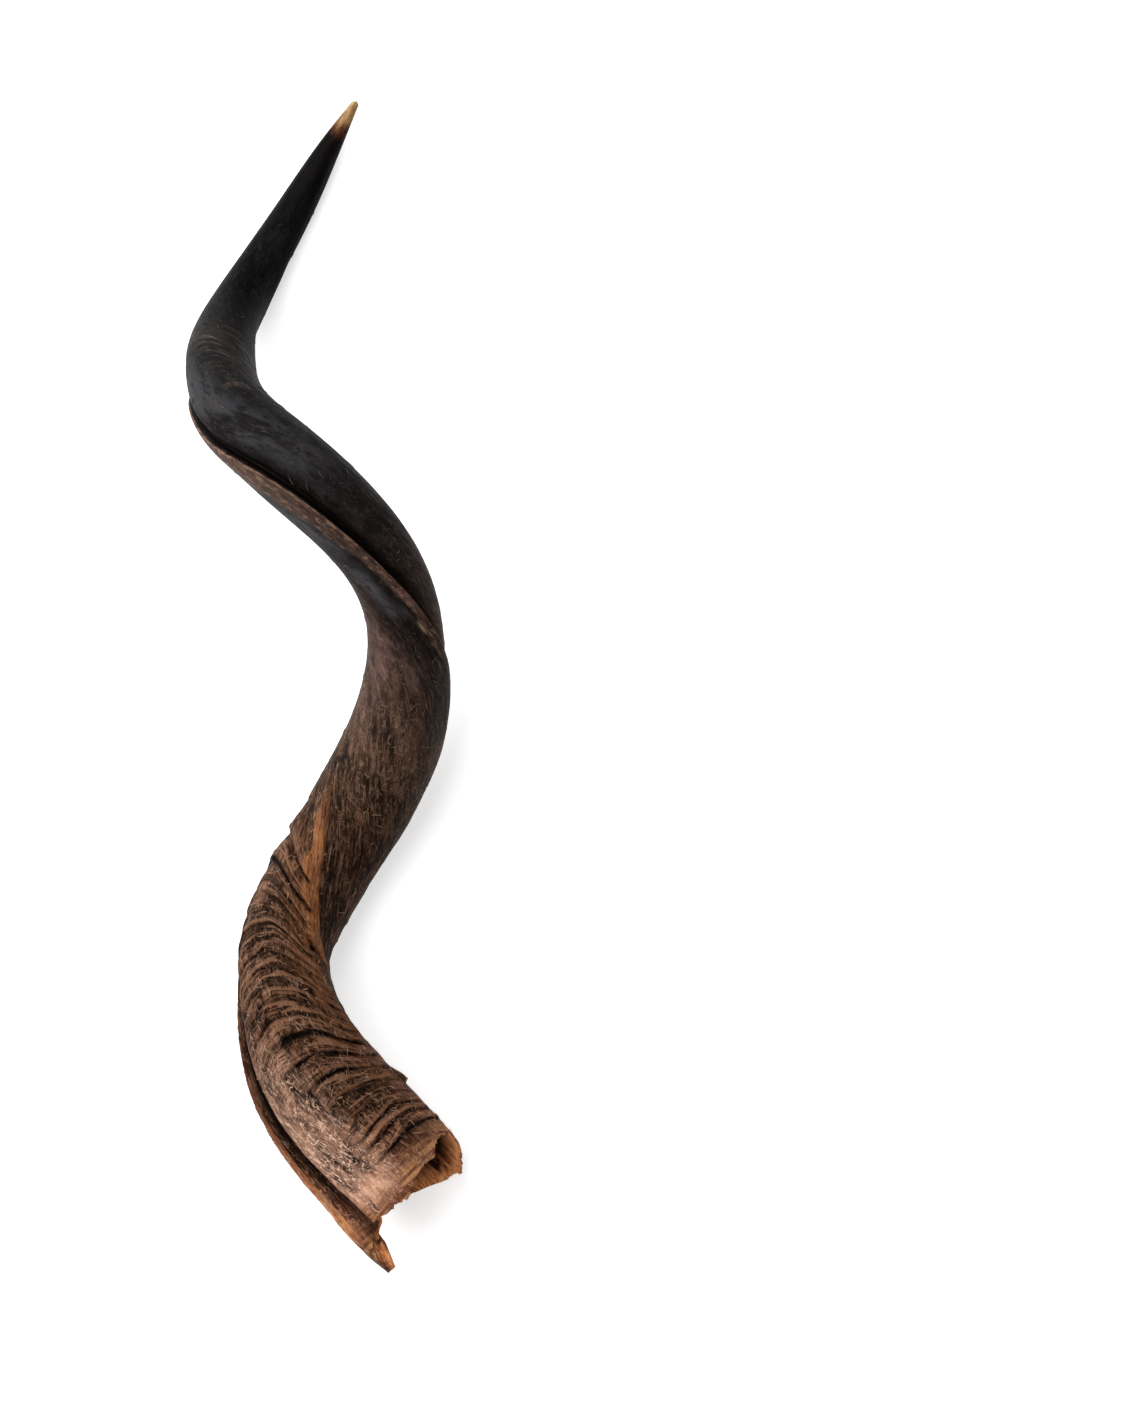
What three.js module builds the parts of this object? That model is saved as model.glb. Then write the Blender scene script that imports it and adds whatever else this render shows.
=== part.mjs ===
// Kudu horn: a hollow, left-turning corkscrew sheath of keratin, lying as it rests on a floor.
// Units are millimetres. The floor is z = 0, +Z is up and the horn's length runs along Y, tip at +Y.
import * as THREE from "three";

// Stations of the centre line, from the broken base to the tip.
// x, y, z and radius are in mm. turn is the keel's angle about the centre line, in degrees from straight up.
const STATIONS = [
  { x: 89.4, y: -373.0, z: 45.0, radius: 45.0, turn: -77 },
  { x: 57.4, y: -335.0, z: 47.0, radius: 45.0, turn: -79 },
  { x: 19.4, y: -295.0, z: 56.0, radius: 46.0, turn: -82 },
  { x: -9.6, y: -254.8, z: 65.0, radius: 41.2, turn: -90 },
  { x: -24.4, y: -213.0, z: 61.0, radius: 33.5, turn: -106 },
  { x: -25.9, y: -174.1, z: 44.0, radius: 31.1, turn: -132 },
  { x: -12.5, y: -142.5, z: 35.0, radius: 31.7, turn: -156 },
  { x: 7.2, y: -109.3, z: 36.3, radius: 31.4, turn: -182 },
  { x: 28.2, y: -73.2, z: 45.0, radius: 33.7, turn: -217 },
  { x: 45.6, y: -34.4, z: 63.0, radius: 32.6, turn: -249 },
  { x: 54.6, y: 7.0, z: 88.0, radius: 28.7, turn: -273 },
  { x: 53.7, y: 51.0, z: 112.0, radius: 25.4, turn: -326 },
  { x: 38.2, y: 88.9, z: 133.0, radius: 25.4, turn: -368 },
  { x: 7.9, y: 124.5, z: 149.0, radius: 27.2, turn: -387 },
  { x: -27.8, y: 156.3, z: 151.0, radius: 28.0, turn: -402 },
  { x: -58.6, y: 186.5, z: 129.0, radius: 26.0, turn: -442 },
  { x: -70.4, y: 220.6, z: 83.0, radius: 23.8, turn: -502 },
  { x: -65.1, y: 251.0, z: 42.0, radius: 19.9, turn: -594 },
  { x: -50.1, y: 279.0, z: 21.3, radius: 17.0, turn: -637 },
  { x: -21.7, y: 326.1, z: 13.8, radius: 12.9, turn: -666 },
  { x: 4.8, y: 373.5, z: 16.5, radius: 7.3, turn: -676 },
  { x: 20.9, y: 400.7, z: 22.0, radius: 2.6, turn: -679 },
];

// Cross-section. Angles are in degrees round the section from the crest of the keel.
const FLATTEN = 0.03; // the section is this much narrower across the keel than across its sides
const KEEL_HEIGHT = 0.14; // of the radius
const KEEL_HEIGHT_AT_BASE = 0.22;
const KEEL_FLARE = 0.08; // added to the keel's height near its broken end
const KEEL_FLARE_AT = 44; // place along the centre line, in mm
const KEEL_FLARE_WIDTH = 28;
const KEEL_END_DROP = 0.05; // taken off the keel's height at its very end
const KEEL_END = [2, 30];
const KEEL_SLOPE = 26; // width of the keel's gentle side
const KEEL_SLOPE_AT_BASE = 18;
const KEEL_LIP = 8; // width of the keel's steep side
const GROOVE_ANGLE = 12;
const GROOVE_WIDTH = 6;
const GROOVE_DEPTH = 0.13;
const GROOVE_DEPTH_AT_BASE = 0.16;
const RIDGE_ANGLE = 164; // the second, rounded ridge, opposite the keel
const RIDGE_WIDTH = 8;
const RIDGE_HEIGHT = 0.06;
const BASE_BLEND = [50, 160]; // the base's own section blends into the main one between these places, in mm
const RIDGE_START = [110, 170];
const RIDGE_STOP = [330, 400];
const TIP_BLEND = 230; // length over which the keel and groove fade out toward the tip

// Growth rings. A ring line leans back toward the base on both sides of its foremost place.
const RING_LEAN = 34; // mm, the most that a ring line leans back on the ridge's side
const RING_LEAN_BY_KEEL = 18; // and on the keel's side
const RING_LEAN_CHANGE = [-0.5, 0.5]; // sines of the angle from the front between which one gives way to the other
const RING_FRONT = 97; // angle where a ring line is nearest the tip
const RING_LEAN_WIDTH = 55; // degrees
const RING_LEAN_POWER = 2.3; // a higher power keeps a ring line level for longer
const RING_LEAN_AT_BASE = 0.6; // share of the lean at the first rings
const RING_LEAN_BLEND = [60, 140];
const RING_STEP = 3.2; // length over which a plate's lip drops to the next plate
const FRONT_RINGS = [[18, 50], [152, 166]]; // angles where rings fade in and out between groove and ridge
const BASE_RINGS_FROM = [62, 95]; // angles where the first rings fade in, which stop short of the groove
const BASE_RINGS_BLEND = [150, 200];
const BACK_RINGS = [[170, 190], [325, 348]]; // and between the ridge and the keel's gentle side
const BACK_RING_SHARE = 0.5;
const BACK_RING_STOP = [150, 240]; // the back's rings fade out between these places
const LAST_PLATE_LENGTH = 30;
// at is where a plate's lip lies, and rise how far it stands above the next plate, in mm.
const RINGS = [
  { at: 86, rise: 2.6 }, { at: 98, rise: 2.2 }, { at: 107, rise: 1.6 }, { at: 121, rise: 0.9 },
  { at: 135, rise: 1.0 }, { at: 150, rise: 2.0 }, { at: 164, rise: 2.2 }, { at: 178, rise: 2.4 },
  { at: 190, rise: 1.3 }, { at: 199, rise: 1.1 }, { at: 209, rise: 1.4 }, { at: 218, rise: 1.0 },
  { at: 228, rise: 1.5 }, { at: 237, rise: 1.1 }, { at: 247, rise: 1.6 }, { at: 257, rise: 1.2 },
  { at: 268, rise: 1.6 }, { at: 279, rise: 1.4 }, { at: 293, rise: 3.0 }, { at: 316, rise: 3.0 },
  { at: 342, rise: 0.8 },
];

// Broken rim of the open base: angle round the section and place along the centre line, in mm.
const RIM = [
  [0, 10.5], [4, 25], [8, 42], [17, 47], [34, 48], [45, 46], [56, 47.5], [67, 45], [78, 50],
  [89, 54], [100, 56.5], [111, 54], [122, 60], [133, 61.5], [144, 59], [161, 57], [168, 54.5],
  [182, 45], [203, 34], [217, 30], [236, 32], [251, 35.5], [263, 38], [290, 44], [322, 40],
  [341, 29], [348, 17], [354, 11], [360, 10.5],
];

const WALL = 3.8; // at the rim
const CAVITY_END = 395; // place along the centre line where the cavity closes
const KEEL_INSIDE = 0.4; // how much of the keel the inner face follows
const TIP_CAP = 1.8; // length of the rounded end past the last station
const FLOOR_WEAR = 0.4; // depth rubbed flat where the horn lies on the floor

const COLUMN_ANGLES = [
  0, 4, 8, 12, 17, 24, 34, 45, 56, 67, 78, 89, 100, 111, 122, 133, 144, 151, 157, 164, 171, 178, 190,
  203, 216, 229, 242, 255, 268, 281, 294, 306, 317, 327, 335, 342, 348, 354,
];
const BASE_ROWS = 4; // rows between the rim and the first growth ring
const SMOOTH_ROW_LENGTH = 14;
const RING_SEARCH_STEPS = 12;
const CENTRE_STEPS = 4000; // steps in which the centre line's length is measured
const CAVITY_ROUNDING = 2.2; // a higher power keeps the cavity wide for longer before it closes
const CAVITY_ROW_CROWDING = 0.8;
const CAVITY_ROWS = 17;

const radians = THREE.MathUtils.degToRad;
const smoothstep = THREE.MathUtils.smoothstep;

// Wraps an angle into -180 to 180.
function wrap(angle) {
  return THREE.MathUtils.euclideanModulo(angle + 180, 360) - 180;
}

// Rises from 0 to 1 over the first pair of limits and falls back to 0 over the second.
function fadeInAndOut(value, rise, fall) {
  return smoothstep(value, ...rise) * (1 - smoothstep(value, ...fall));
}

// Natural cubic spline through rows of values, one row per knot.
function makeSpline(knots, rows) {
  const last = knots.length - 1;
  const columns = rows[0].map((_, column) => {
    const value = rows.map((row) => row[column]);
    const factor = new Array(last + 1).fill(0);
    const bend = new Array(last + 1).fill(0);
    for (let i = 1; i < last; i += 1) {
      const before = knots[i] - knots[i - 1];
      const after = knots[i + 1] - knots[i];
      const pivot = 2 * (before + after) - before * factor[i - 1];
      const change = (value[i + 1] - value[i]) / after - (value[i] - value[i - 1]) / before;
      factor[i] = after / pivot;
      bend[i] = (6 * change - before * bend[i - 1]) / pivot;
    }
    for (let i = last - 1; i > 0; i -= 1) {
      bend[i] -= factor[i] * bend[i + 1];
    }
    return { value, bend };
  });
  return (knot) => {
    let i = 0;
    while (i < last - 1 && knot > knots[i + 1]) {
      i += 1;
    }
    const span = knots[i + 1] - knots[i];
    const a = (knots[i + 1] - knot) / span;
    const b = 1 - a;
    return columns.map(({ value, bend }) => {
      const curve = (a ** 3 - a) * bend[i] + (b ** 3 - b) * bend[i + 1];
      return a * value[i] + b * value[i + 1] + (curve * span * span) / 6;
    });
  };
}

// The centre line, measured by its own length.
function makeCentreLine() {
  const points = STATIONS.map((s) => new THREE.Vector3(s.x, s.y, s.z));
  const knots = [0];
  for (let i = 1; i < points.length; i += 1) {
    knots.push(knots[i - 1] + points[i].distanceTo(points[i - 1]));
  }
  const spline = makeSpline(knots, STATIONS.map((s) => [s.x, s.y, s.z, s.radius, s.turn]));
  const pointAt = (knot) => new THREE.Vector3(...spline(knot).slice(0, 3));
  const steps = CENTRE_STEPS;
  const end = knots[knots.length - 1];
  const lengths = [0];
  let previous = pointAt(0);
  for (let i = 1; i <= steps; i += 1) {
    const point = pointAt((end * i) / steps);
    lengths.push(lengths[i - 1] + point.distanceTo(previous));
    previous = point;
  }
  const knotAt = (along) => {
    let low = 0;
    let high = steps;
    while (high - low > 1) {
      const middle = (low + high) >> 1;
      if (lengths[middle] > along) {
        high = middle;
      } else {
        low = middle;
      }
    }
    return (end * (low + (along - lengths[low]) / (lengths[high] - lengths[low]))) / steps;
  };
  return { spline, pointAt, knotAt, length: lengths[steps] };
}

const CENTRE = makeCentreLine();

// Centre, axes, radius and keel turn at a distance along the centre line.
function sectionAt(along) {
  const knot = CENTRE.knotAt(along);
  const [x, y, z, radius, turn] = CENTRE.spline(knot);
  const forward = CENTRE.pointAt(knot + 0.5).sub(CENTRE.pointAt(knot - 0.5)).normalize();
  const up = new THREE.Vector3(0, 0, 1).addScaledVector(forward, -forward.z).normalize();
  const side = new THREE.Vector3().crossVectors(forward, up);
  return { centre: new THREE.Vector3(x, y, z), up, side, radius, turn };
}

// How near the broken base a place is: 1 at the base, 0 past it.
function nearBase(along) {
  return 1 - smoothstep(along, ...BASE_BLEND);
}

// Height of the keel, of 1 at its crest: gentle on one side and steep on the other.
function keelShape(angle, along) {
  if (angle <= 0) {
    const slope = THREE.MathUtils.lerp(KEEL_SLOPE, KEEL_SLOPE_AT_BASE, nearBase(along));
    return Math.exp(-((angle / slope) ** 2));
  }
  return 1 - smoothstep(angle, 0, KEEL_LIP);
}

// Radius of the section over the station radius, without growth rings.
function sectionShape(degrees, along, keelShare) {
  const angle = wrap(degrees);
  const keelHeight = THREE.MathUtils.lerp(KEEL_HEIGHT, KEEL_HEIGHT_AT_BASE, nearBase(along));
  const grooveDepth = THREE.MathUtils.lerp(GROOVE_DEPTH, GROOVE_DEPTH_AT_BASE, nearBase(along));
  const fadeToTip = 1 - smoothstep(along, CENTRE.length - TIP_BLEND, CENTRE.length);
  const flare = KEEL_FLARE * Math.exp(-(((along - KEEL_FLARE_AT) / KEEL_FLARE_WIDTH) ** 2));
  const drop = KEEL_END_DROP * (1 - smoothstep(along, ...KEEL_END));
  const keel = keelShare * (keelHeight + flare - drop) * keelShape(angle, along);
  const groove = grooveDepth * Math.exp(-(((angle - GROOVE_ANGLE) / GROOVE_WIDTH) ** 2));
  const ridgeStretch = fadeInAndOut(along, RIDGE_START, RIDGE_STOP);
  const ridgeShape = Math.exp(-((wrap(degrees - RIDGE_ANGLE) / RIDGE_WIDTH) ** 2));
  const oval = 1 - FLATTEN * Math.cos(2 * radians(angle));
  return oval + (keel - groove) * fadeToTip + RIDGE_HEIGHT * ridgeStretch * ridgeShape;
}

// How far a ring line lies toward the base at an angle, in mm.
function ringLean(degrees, ring) {
  const offset = Math.abs(wrap(degrees - RING_FRONT)) / RING_LEAN_WIDTH;
  const onRidgeSide = smoothstep(Math.sin(radians(degrees - RING_FRONT)), ...RING_LEAN_CHANGE);
  const most = THREE.MathUtils.lerp(RING_LEAN_BY_KEEL, RING_LEAN, onRidgeSide);
  const share = THREE.MathUtils.lerp(RING_LEAN_AT_BASE, 1, smoothstep(ring, ...RING_LEAN_BLEND));
  return most * share * (1 - Math.exp(-(offset ** RING_LEAN_POWER)));
}

// The ring line through a place of the outer face, found in a few steps.
function ringAt(degrees, along) {
  let ring = along;
  for (let i = 0; i < RING_SEARCH_STEPS; i += 1) {
    ring = along + ringLean(degrees, ring);
  }
  return ring;
}

// Share of a ring's rise that shows at an angle and place.
function ringShare(degrees, ring) {
  const pastBase = smoothstep(ring, ...BASE_RINGS_BLEND);
  const from = FRONT_RINGS[0].map((angle, i) => THREE.MathUtils.lerp(BASE_RINGS_FROM[i], angle, pastBase));
  const backFade = BACK_RING_SHARE * (1 - smoothstep(ring, ...BACK_RING_STOP));
  return fadeInAndOut(degrees, from, FRONT_RINGS[1]) + backFade * fadeInAndOut(degrees, ...BACK_RINGS);
}

// Height of the overlapping plates at a place measured along the ring lines.
function ringHeight(degrees, ring) {
  const index = RINGS.findLastIndex((lip) => ring >= lip.at - RING_STEP);
  if (index < 0) {
    return 0;
  }
  const lip = RINGS[index];
  const next = RINGS[index + 1] ?? { at: lip.at + LAST_PLATE_LENGTH };
  const rise = lip.rise * ringShare(degrees, ring);
  if (ring < lip.at) {
    return rise * smoothstep(ring, lip.at - RING_STEP, lip.at);
  }
  return rise * Math.max(0, 1 - (ring - lip.at) / (next.at - RING_STEP - lip.at));
}

// Point of the outer face.
function outerPoint(degrees, along) {
  const section = sectionAt(along);
  const ring = ringAt(degrees, along);
  const reach = section.radius * sectionShape(degrees, along, 1) + ringHeight(degrees, ring);
  return place(section, degrees, reach);
}

// Point of the inner face of the hollow base.
function innerPoint(degrees, along, start) {
  const section = sectionAt(along);
  const depth = THREE.MathUtils.clamp((along - start) / (CAVITY_END - start), 0, 1);
  const reach = section.radius * sectionShape(degrees, along, KEEL_INSIDE) - WALL;
  return place(section, degrees, reach * Math.sqrt(1 - depth ** CAVITY_ROUNDING));
}

// Puts a point at an angle and distance from a section's centre.
function place(section, degrees, reach) {
  const angle = radians(section.turn + degrees);
  const point = section.centre.clone();
  point.addScaledVector(section.up, reach * Math.cos(angle));
  point.addScaledVector(section.side, reach * Math.sin(angle));
  return point;
}

// Place of the broken rim along the centre line at an angle.
function rimAt(degrees) {
  const index = RIM.findIndex(([angle]) => angle > degrees);
  const [angleBefore, alongBefore] = RIM[index - 1];
  const [angleAfter, alongAfter] = RIM[index];
  const share = (degrees - angleBefore) / (angleAfter - angleBefore);
  return THREE.MathUtils.lerp(alongBefore, alongAfter, share);
}

// Outer rows from the rim to the tip, each a function from angle to place along the centre line.
function outerRows() {
  const rows = [];
  const first = RINGS[0].at - RING_STEP;
  const onRing = (ring) => (degrees) => ring - ringLean(degrees, ring);
  for (let i = 0; i < BASE_ROWS; i += 1) {
    rows.push((degrees) => THREE.MathUtils.lerp(rimAt(degrees), onRing(first)(degrees), i / BASE_ROWS));
  }
  RINGS.forEach((lip, index) => {
    const next = RINGS[index + 1];
    rows.push(onRing(lip.at - RING_STEP));
    rows.push(onRing(lip.at));
    if (next) {
      rows.push(onRing((lip.at + next.at - RING_STEP) / 2));
    }
  });
  const start = RINGS[RINGS.length - 1].at;
  const count = Math.round((CENTRE.length - start) / SMOOTH_ROW_LENGTH);
  for (let i = 1; i <= count; i += 1) {
    const along = THREE.MathUtils.lerp(start, CENTRE.length, i / count);
    rows.push((degrees) => along - ringLean(degrees, start) * (1 - i / count));
  }
  return rows;
}

// Rows of points from the end of the cavity out to the rim, then over the outside to the tip.
function shellRows() {
  const rows = [];
  for (let i = 1; i <= CAVITY_ROWS; i += 1) {
    const share = (i / CAVITY_ROWS) ** CAVITY_ROW_CROWDING;
    rows.push(COLUMN_ANGLES.map((degrees) => {
      const rim = rimAt(degrees);
      return innerPoint(degrees, THREE.MathUtils.lerp(CAVITY_END, rim, share), rim);
    }));
  }
  for (const alongAt of outerRows()) {
    rows.push(COLUMN_ANGLES.map((degrees) => outerPoint(degrees, alongAt(degrees))));
  }
  return rows;
}

// Closed surface through rows of points with a single point at each end.
function closedSurface(startPoint, rows, endPoint) {
  const columns = rows[0].length;
  const points = [startPoint, ...rows.flat(), endPoint];
  const at = (row, column) => 1 + row * columns + (column % columns);
  const lastPoint = points.length - 1;
  const lastRow = rows.length - 1;
  const triangles = [];
  for (let column = 0; column < columns; column += 1) {
    triangles.push(0, at(0, column + 1), at(0, column));
    triangles.push(lastPoint, at(lastRow, column), at(lastRow, column + 1));
    for (let row = 0; row < lastRow; row += 1) {
      const a = at(row, column);
      const b = at(row, column + 1);
      const c = at(row + 1, column);
      const d = at(row + 1, column + 1);
      triangles.push(a, b, c, b, d, c);
    }
  }
  const geometry = new THREE.BufferGeometry();
  geometry.setAttribute("position", new THREE.Float32BufferAttribute(points.flatMap((p) => p.toArray()), 3));
  geometry.setIndex(triangles);
  return geometry;
}

// Lays a geometry on the floor and rubs its lowest points flat.
function layOnFloor(geometry) {
  geometry.computeBoundingBox();
  const floor = geometry.boundingBox.min.z + FLOOR_WEAR;
  const position = geometry.attributes.position;
  for (let i = 0; i < position.count; i += 1) {
    position.setZ(i, Math.max(0, position.getZ(i) - floor));
  }
}

function buildHorn() {
  const cavityEnd = sectionAt(CAVITY_END).centre;
  const rows = shellRows();
  const tip = sectionAt(CENTRE.length);
  const beforeTip = sectionAt(CENTRE.length - 1).centre;
  const forward = tip.centre.clone().sub(beforeTip).normalize();
  const tipPoint = tip.centre.clone().addScaledVector(forward, TIP_CAP);
  const geometry = closedSurface(cavityEnd, rows, tipPoint);
  layOnFloor(geometry);
  geometry.computeVertexNormals();
  const keratin = new THREE.MeshStandardMaterial({ color: 0x3a2a20, roughness: 0.55 });
  const horn = new THREE.Mesh(geometry, keratin);
  horn.name = "horn";
  return horn;
}

const part = new THREE.Group();
part.name = "kudu_horn";
part.add(buildHorn());

export default part;
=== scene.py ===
# Kudu horn: the looks of a hollow corkscrew horn sheath, lying on a white floor.
import bpy
import functools
import math
import numpy as np
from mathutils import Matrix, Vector


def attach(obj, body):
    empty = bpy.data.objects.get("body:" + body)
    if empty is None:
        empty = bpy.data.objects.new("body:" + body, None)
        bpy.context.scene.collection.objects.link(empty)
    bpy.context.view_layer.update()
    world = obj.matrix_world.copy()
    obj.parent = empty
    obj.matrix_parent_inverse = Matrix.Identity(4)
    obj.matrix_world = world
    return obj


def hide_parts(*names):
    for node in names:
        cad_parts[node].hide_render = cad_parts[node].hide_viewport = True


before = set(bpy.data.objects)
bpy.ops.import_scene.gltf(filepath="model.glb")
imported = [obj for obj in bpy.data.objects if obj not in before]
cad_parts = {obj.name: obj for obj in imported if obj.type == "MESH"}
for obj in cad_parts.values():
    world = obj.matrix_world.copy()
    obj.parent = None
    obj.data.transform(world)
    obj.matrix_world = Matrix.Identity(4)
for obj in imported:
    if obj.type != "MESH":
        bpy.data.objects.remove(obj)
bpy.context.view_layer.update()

MM = 0.001
SEED = 7

# Form: the centre line's stations, from the broken base to the tip: x, y, z and radius in mm,
# and the keel's angle about the centre line, in degrees from straight up.
STATIONS = np.array([
    (89.4, -373.0, 45.0, 45.0, -77),
    (57.4, -335.0, 47.0, 45.0, -79),
    (19.4, -295.0, 56.0, 46.0, -82),
    (-9.6, -254.8, 65.0, 41.2, -90),
    (-24.4, -213.0, 61.0, 33.5, -106),
    (-25.9, -174.1, 44.0, 31.1, -132),
    (-12.5, -142.5, 35.0, 31.7, -156),
    (7.2, -109.3, 36.3, 31.4, -182),
    (28.2, -73.2, 45.0, 33.7, -217),
    (45.6, -34.4, 63.0, 32.6, -249),
    (54.6, 7.0, 88.0, 28.7, -273),
    (53.7, 51.0, 112.0, 25.4, -326),
    (38.2, 88.9, 133.0, 25.4, -368),
    (7.9, 124.5, 149.0, 27.2, -387),
    (-27.8, 156.3, 151.0, 28.0, -402),
    (-58.6, 186.5, 129.0, 26.0, -442),
    (-70.4, 220.6, 83.0, 23.8, -502),
    (-65.1, 251.0, 42.0, 19.9, -594),
    (-50.1, 279.0, 21.3, 17.0, -637),
    (-21.7, 326.1, 13.8, 12.9, -666),
    (4.8, 373.5, 16.5, 7.3, -676),
    (20.9, 400.7, 22.0, 2.6, -679),
])

# Cross-section, in degrees round it from the keel's crest and in shares of the radius
FLATTEN = 0.03
KEEL_HEIGHT = 0.14
KEEL_HEIGHT_AT_BASE = 0.22
KEEL_FLARE = 0.08
KEEL_FLARE_AT = 44
KEEL_FLARE_WIDTH = 28
KEEL_END_DROP = 0.05
KEEL_END = (2, 30)
KEEL_SLOPE = 26
KEEL_SLOPE_AT_BASE = 18
KEEL_LIP = 8
KEEL_OVERHANG = 4.5
KEEL_OVERHANG_CENTRE = 1.5
KEEL_OVERHANG_WIDTH = 4.5
KEEL_BREAK = ((503, 508), (521, 527))
KEEL_BREAK_SHARE = 0.35
GROOVE_ANGLE = 12
GROOVE_WIDTH = 6
GROOVE_DEPTH = 0.13
GROOVE_DEPTH_AT_BASE = 0.16
RIDGE_ANGLE = 164
RIDGE_WIDTH = 8
RIDGE_HEIGHT = 0.06
BASE_BLEND = (50, 160)
RIDGE_START = (110, 170)
RIDGE_STOP = (330, 400)
TIP_BLEND = 230

# Course of the smooth amber ridge: place along the centre line in mm, angle and half width in degrees,
# then its ends and edges, the scallops of its one side and the beads along its top
RIDGE_PATH = np.array([
    (214, 193, 5), (229, 178, 9), (245, 167, 11), (262, 162, 12), (280, 159, 11.5), (298, 159, 11),
    (318, 161, 10), (340, 163, 8), (371, 170, 6),
])
RIDGE_ENDS = ((214, 226), (322, 370))
RIDGE_EDGE = (-1.5, 1.8)
RIDGE_SCALLOP = 0.2
RIDGE_SCALLOP_STEP = 5.2
BEAD_HEIGHT = 1.3
BEAD_SWELL = 0.4
BEAD_STEP = 3.4

# Growth rings: the place of each plate's lip and its rise, in mm
RING_LEAN = 34
RING_LEAN_BY_KEEL = 18
RING_LEAN_CHANGE = (-0.5, 0.5)
RING_FRONT = 97
RING_LEAN_WIDTH = 55
RING_LEAN_POWER = 2.3
RING_LEAN_AT_BASE = 0.6
RING_LEAN_BLEND = (60, 140)
RING_SEARCH_STEPS = 12
RING_STEP = 2.4
PLATE_ROUNDING = 1.4
LAST_PLATE_LENGTH = 30
FOOT_SHARE = 0.8
CREVICE_WIDTH = 0.7
CREVICE_WIDTH_BY_RISE = 0.5
FRONT_RINGS = ((18, 50), (152, 166))
BASE_RINGS_FROM = (62, 95)
BASE_RINGS_BLEND = (150, 200)
BACK_RINGS = ((170, 190), (325, 348))
BACK_RING_SHARE = 0.5
BACK_RING_STOP = (150, 240)
RINGS = np.array([
    (86, 2.6), (98, 2.2), (107, 1.6), (121, 0.9), (135, 1.0), (150, 2.0), (164, 2.2), (178, 2.4),
    (190, 1.3), (199, 1.1), (209, 1.4), (218, 1.0), (228, 1.5), (237, 1.1), (247, 1.6), (257, 1.2),
    (268, 1.6), (279, 1.4), (293, 3.0), (316, 3.0), (342, 0.8),
])

# Waves of the ring lines: height in mm, number round the horn, and mm along it to a radian
RING_WAVES = ((0.8, 3, 23), (0.5, 7, -11), (0.35, 13, 5))
RING_WAVES_SHOW = ((70, 95), (300, 340))

# Broken rim: angle round the section and place along the centre line, in mm, then the number of its
# swells, teeth and steps round the horn, and the wall and cavity behind it in mm
RIM = np.array([
    (0, 10.5), (4, 25), (8, 42), (17, 47), (34, 48), (45, 46), (56, 47.5), (67, 45), (78, 50), (89, 54),
    (100, 56.5), (111, 54), (122, 60), (133, 61.5), (144, 59), (161, 57), (168, 54.5), (182, 45),
    (203, 34), (217, 30), (236, 32), (251, 35.5), (263, 38), (290, 44), (322, 40), (341, 29),
    (348, 17), (354, 11), (360, 10.5),
])
RIM_SPLINTERS = 1.3
RIM_SWELLS_ROUND = 5
RIM_TEETH_ROUND = (29, 11, 71)
RIM_STEPS_ROUND = 13
WALL = 3.8
RIM_WALL = 1.7
WALL_THICKENS_OVER = 16
KEEL_WALL = 4.5
KEEL_WALL_WIDTH = 13
KEEL_WALL_ENDS = (20, 60)
CAVITY_KEEL = 0.4
RIM_CAVITY_KEEL = 0.9
CAVITY_END = 395
CAVITY_ROUNDING = 2.2
TIP_CAP = 1.8
FLOOR_WEAR = 0.4

# Single marks: the slanted hole where the second ridge begins, one lifted splinter at the right edge,
# and one chip on the keel's lip. Angles are in degrees, places and heights in mm.
CRACK_PLACE = 232
CRACK_ANGLE = 160
CRACK_SLANT = 0.35
CRACK_HALF_WIDTH = 4.4
CRACK_NARROWS = 0.17
CRACK_EDGE = (-0.6, 1.0)
CRACK_ENDS = ((-4, -1), (15, 20))
CRACK_DEPTH = 4.0
SPLINTER_PLACES = ((101, 102.5), (104, 124))
SPLINTER_ANGLE = 171
SPLINTER_WIDTH = 2.4
SPLINTER_HEIGHT = 3.4
CHIP_PLACE = 509
CHIP_ANGLE = 351
CHIP_SIZE = (2.5, 4)
CHIP_TONE_SIZE = (2.2, 2.8)
CHIP_HEIGHT = 1.8
LEAST_REACH = 0.3

# Parts of the outside that look different. Each has its strength, where it rises and falls along the
# horn in mm, by ring lines for the ringed part, and where it rises and falls round the section, in
# degrees from the keel's crest.
FROM_BASE = (-2, -1)
TO_TIP = (1000, 1001)
REGIONS = {
    "pale_side": (1.0, (46, 72), (140, 190), (12, 34), (60, 92)),
    "ringed": (1.0, (78, 90), (300, 345), (14, 40), (158, 172)),
    "right": (1.0, FROM_BASE, TO_TIP, (112, 150), (172, 196)),
    # The base's right, the smooth side and the far edge are darkened as painted shade, away from the light
    "base_right": (0.65, (60, 74), (110, 160), (82, 112), (160, 182)),
    "smooth_side": (0.8, FROM_BASE, (305, 395), (168, 184), (334, 352)),
    "lined": (1.0, (285, 330), (420, 480), (170, 186), (335, 352)),
    "far_edge": (0.8, (390, 430), (540, 620), (276, 320), (356, 360)),
    # A painted sheen on the black body
    "sheen": (0.8, (610, 655), (715, 770), (26, 44), (66, 104)),
    "bend": (1.0, (690, 715), (765, 800), (84, 108), (180, 205)),
    # Painted shade under the keel's curled end
    "keel_end": (0.85, FROM_BASE, (22, 54), (-17, -9), (8, 12)),
    # Painted shade in the groove by the keel, beside it and under the lip's overhang
    "groove_floor": (1.0, FROM_BASE, TO_TIP, (6, 7.5), (9, 11.5)),
    "groove_side": (0.35, FROM_BASE, TO_TIP, (9, 11.5), (11.5, 20)),
    "under_lip": (0.8, (470, 560), (690, 780), (6, 7.5), (12, 42)),
}
# Regions darkened as painted shade
DIM_REGIONS = ("smooth_side", "far_edge", "base_right", "keel_end")
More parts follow.
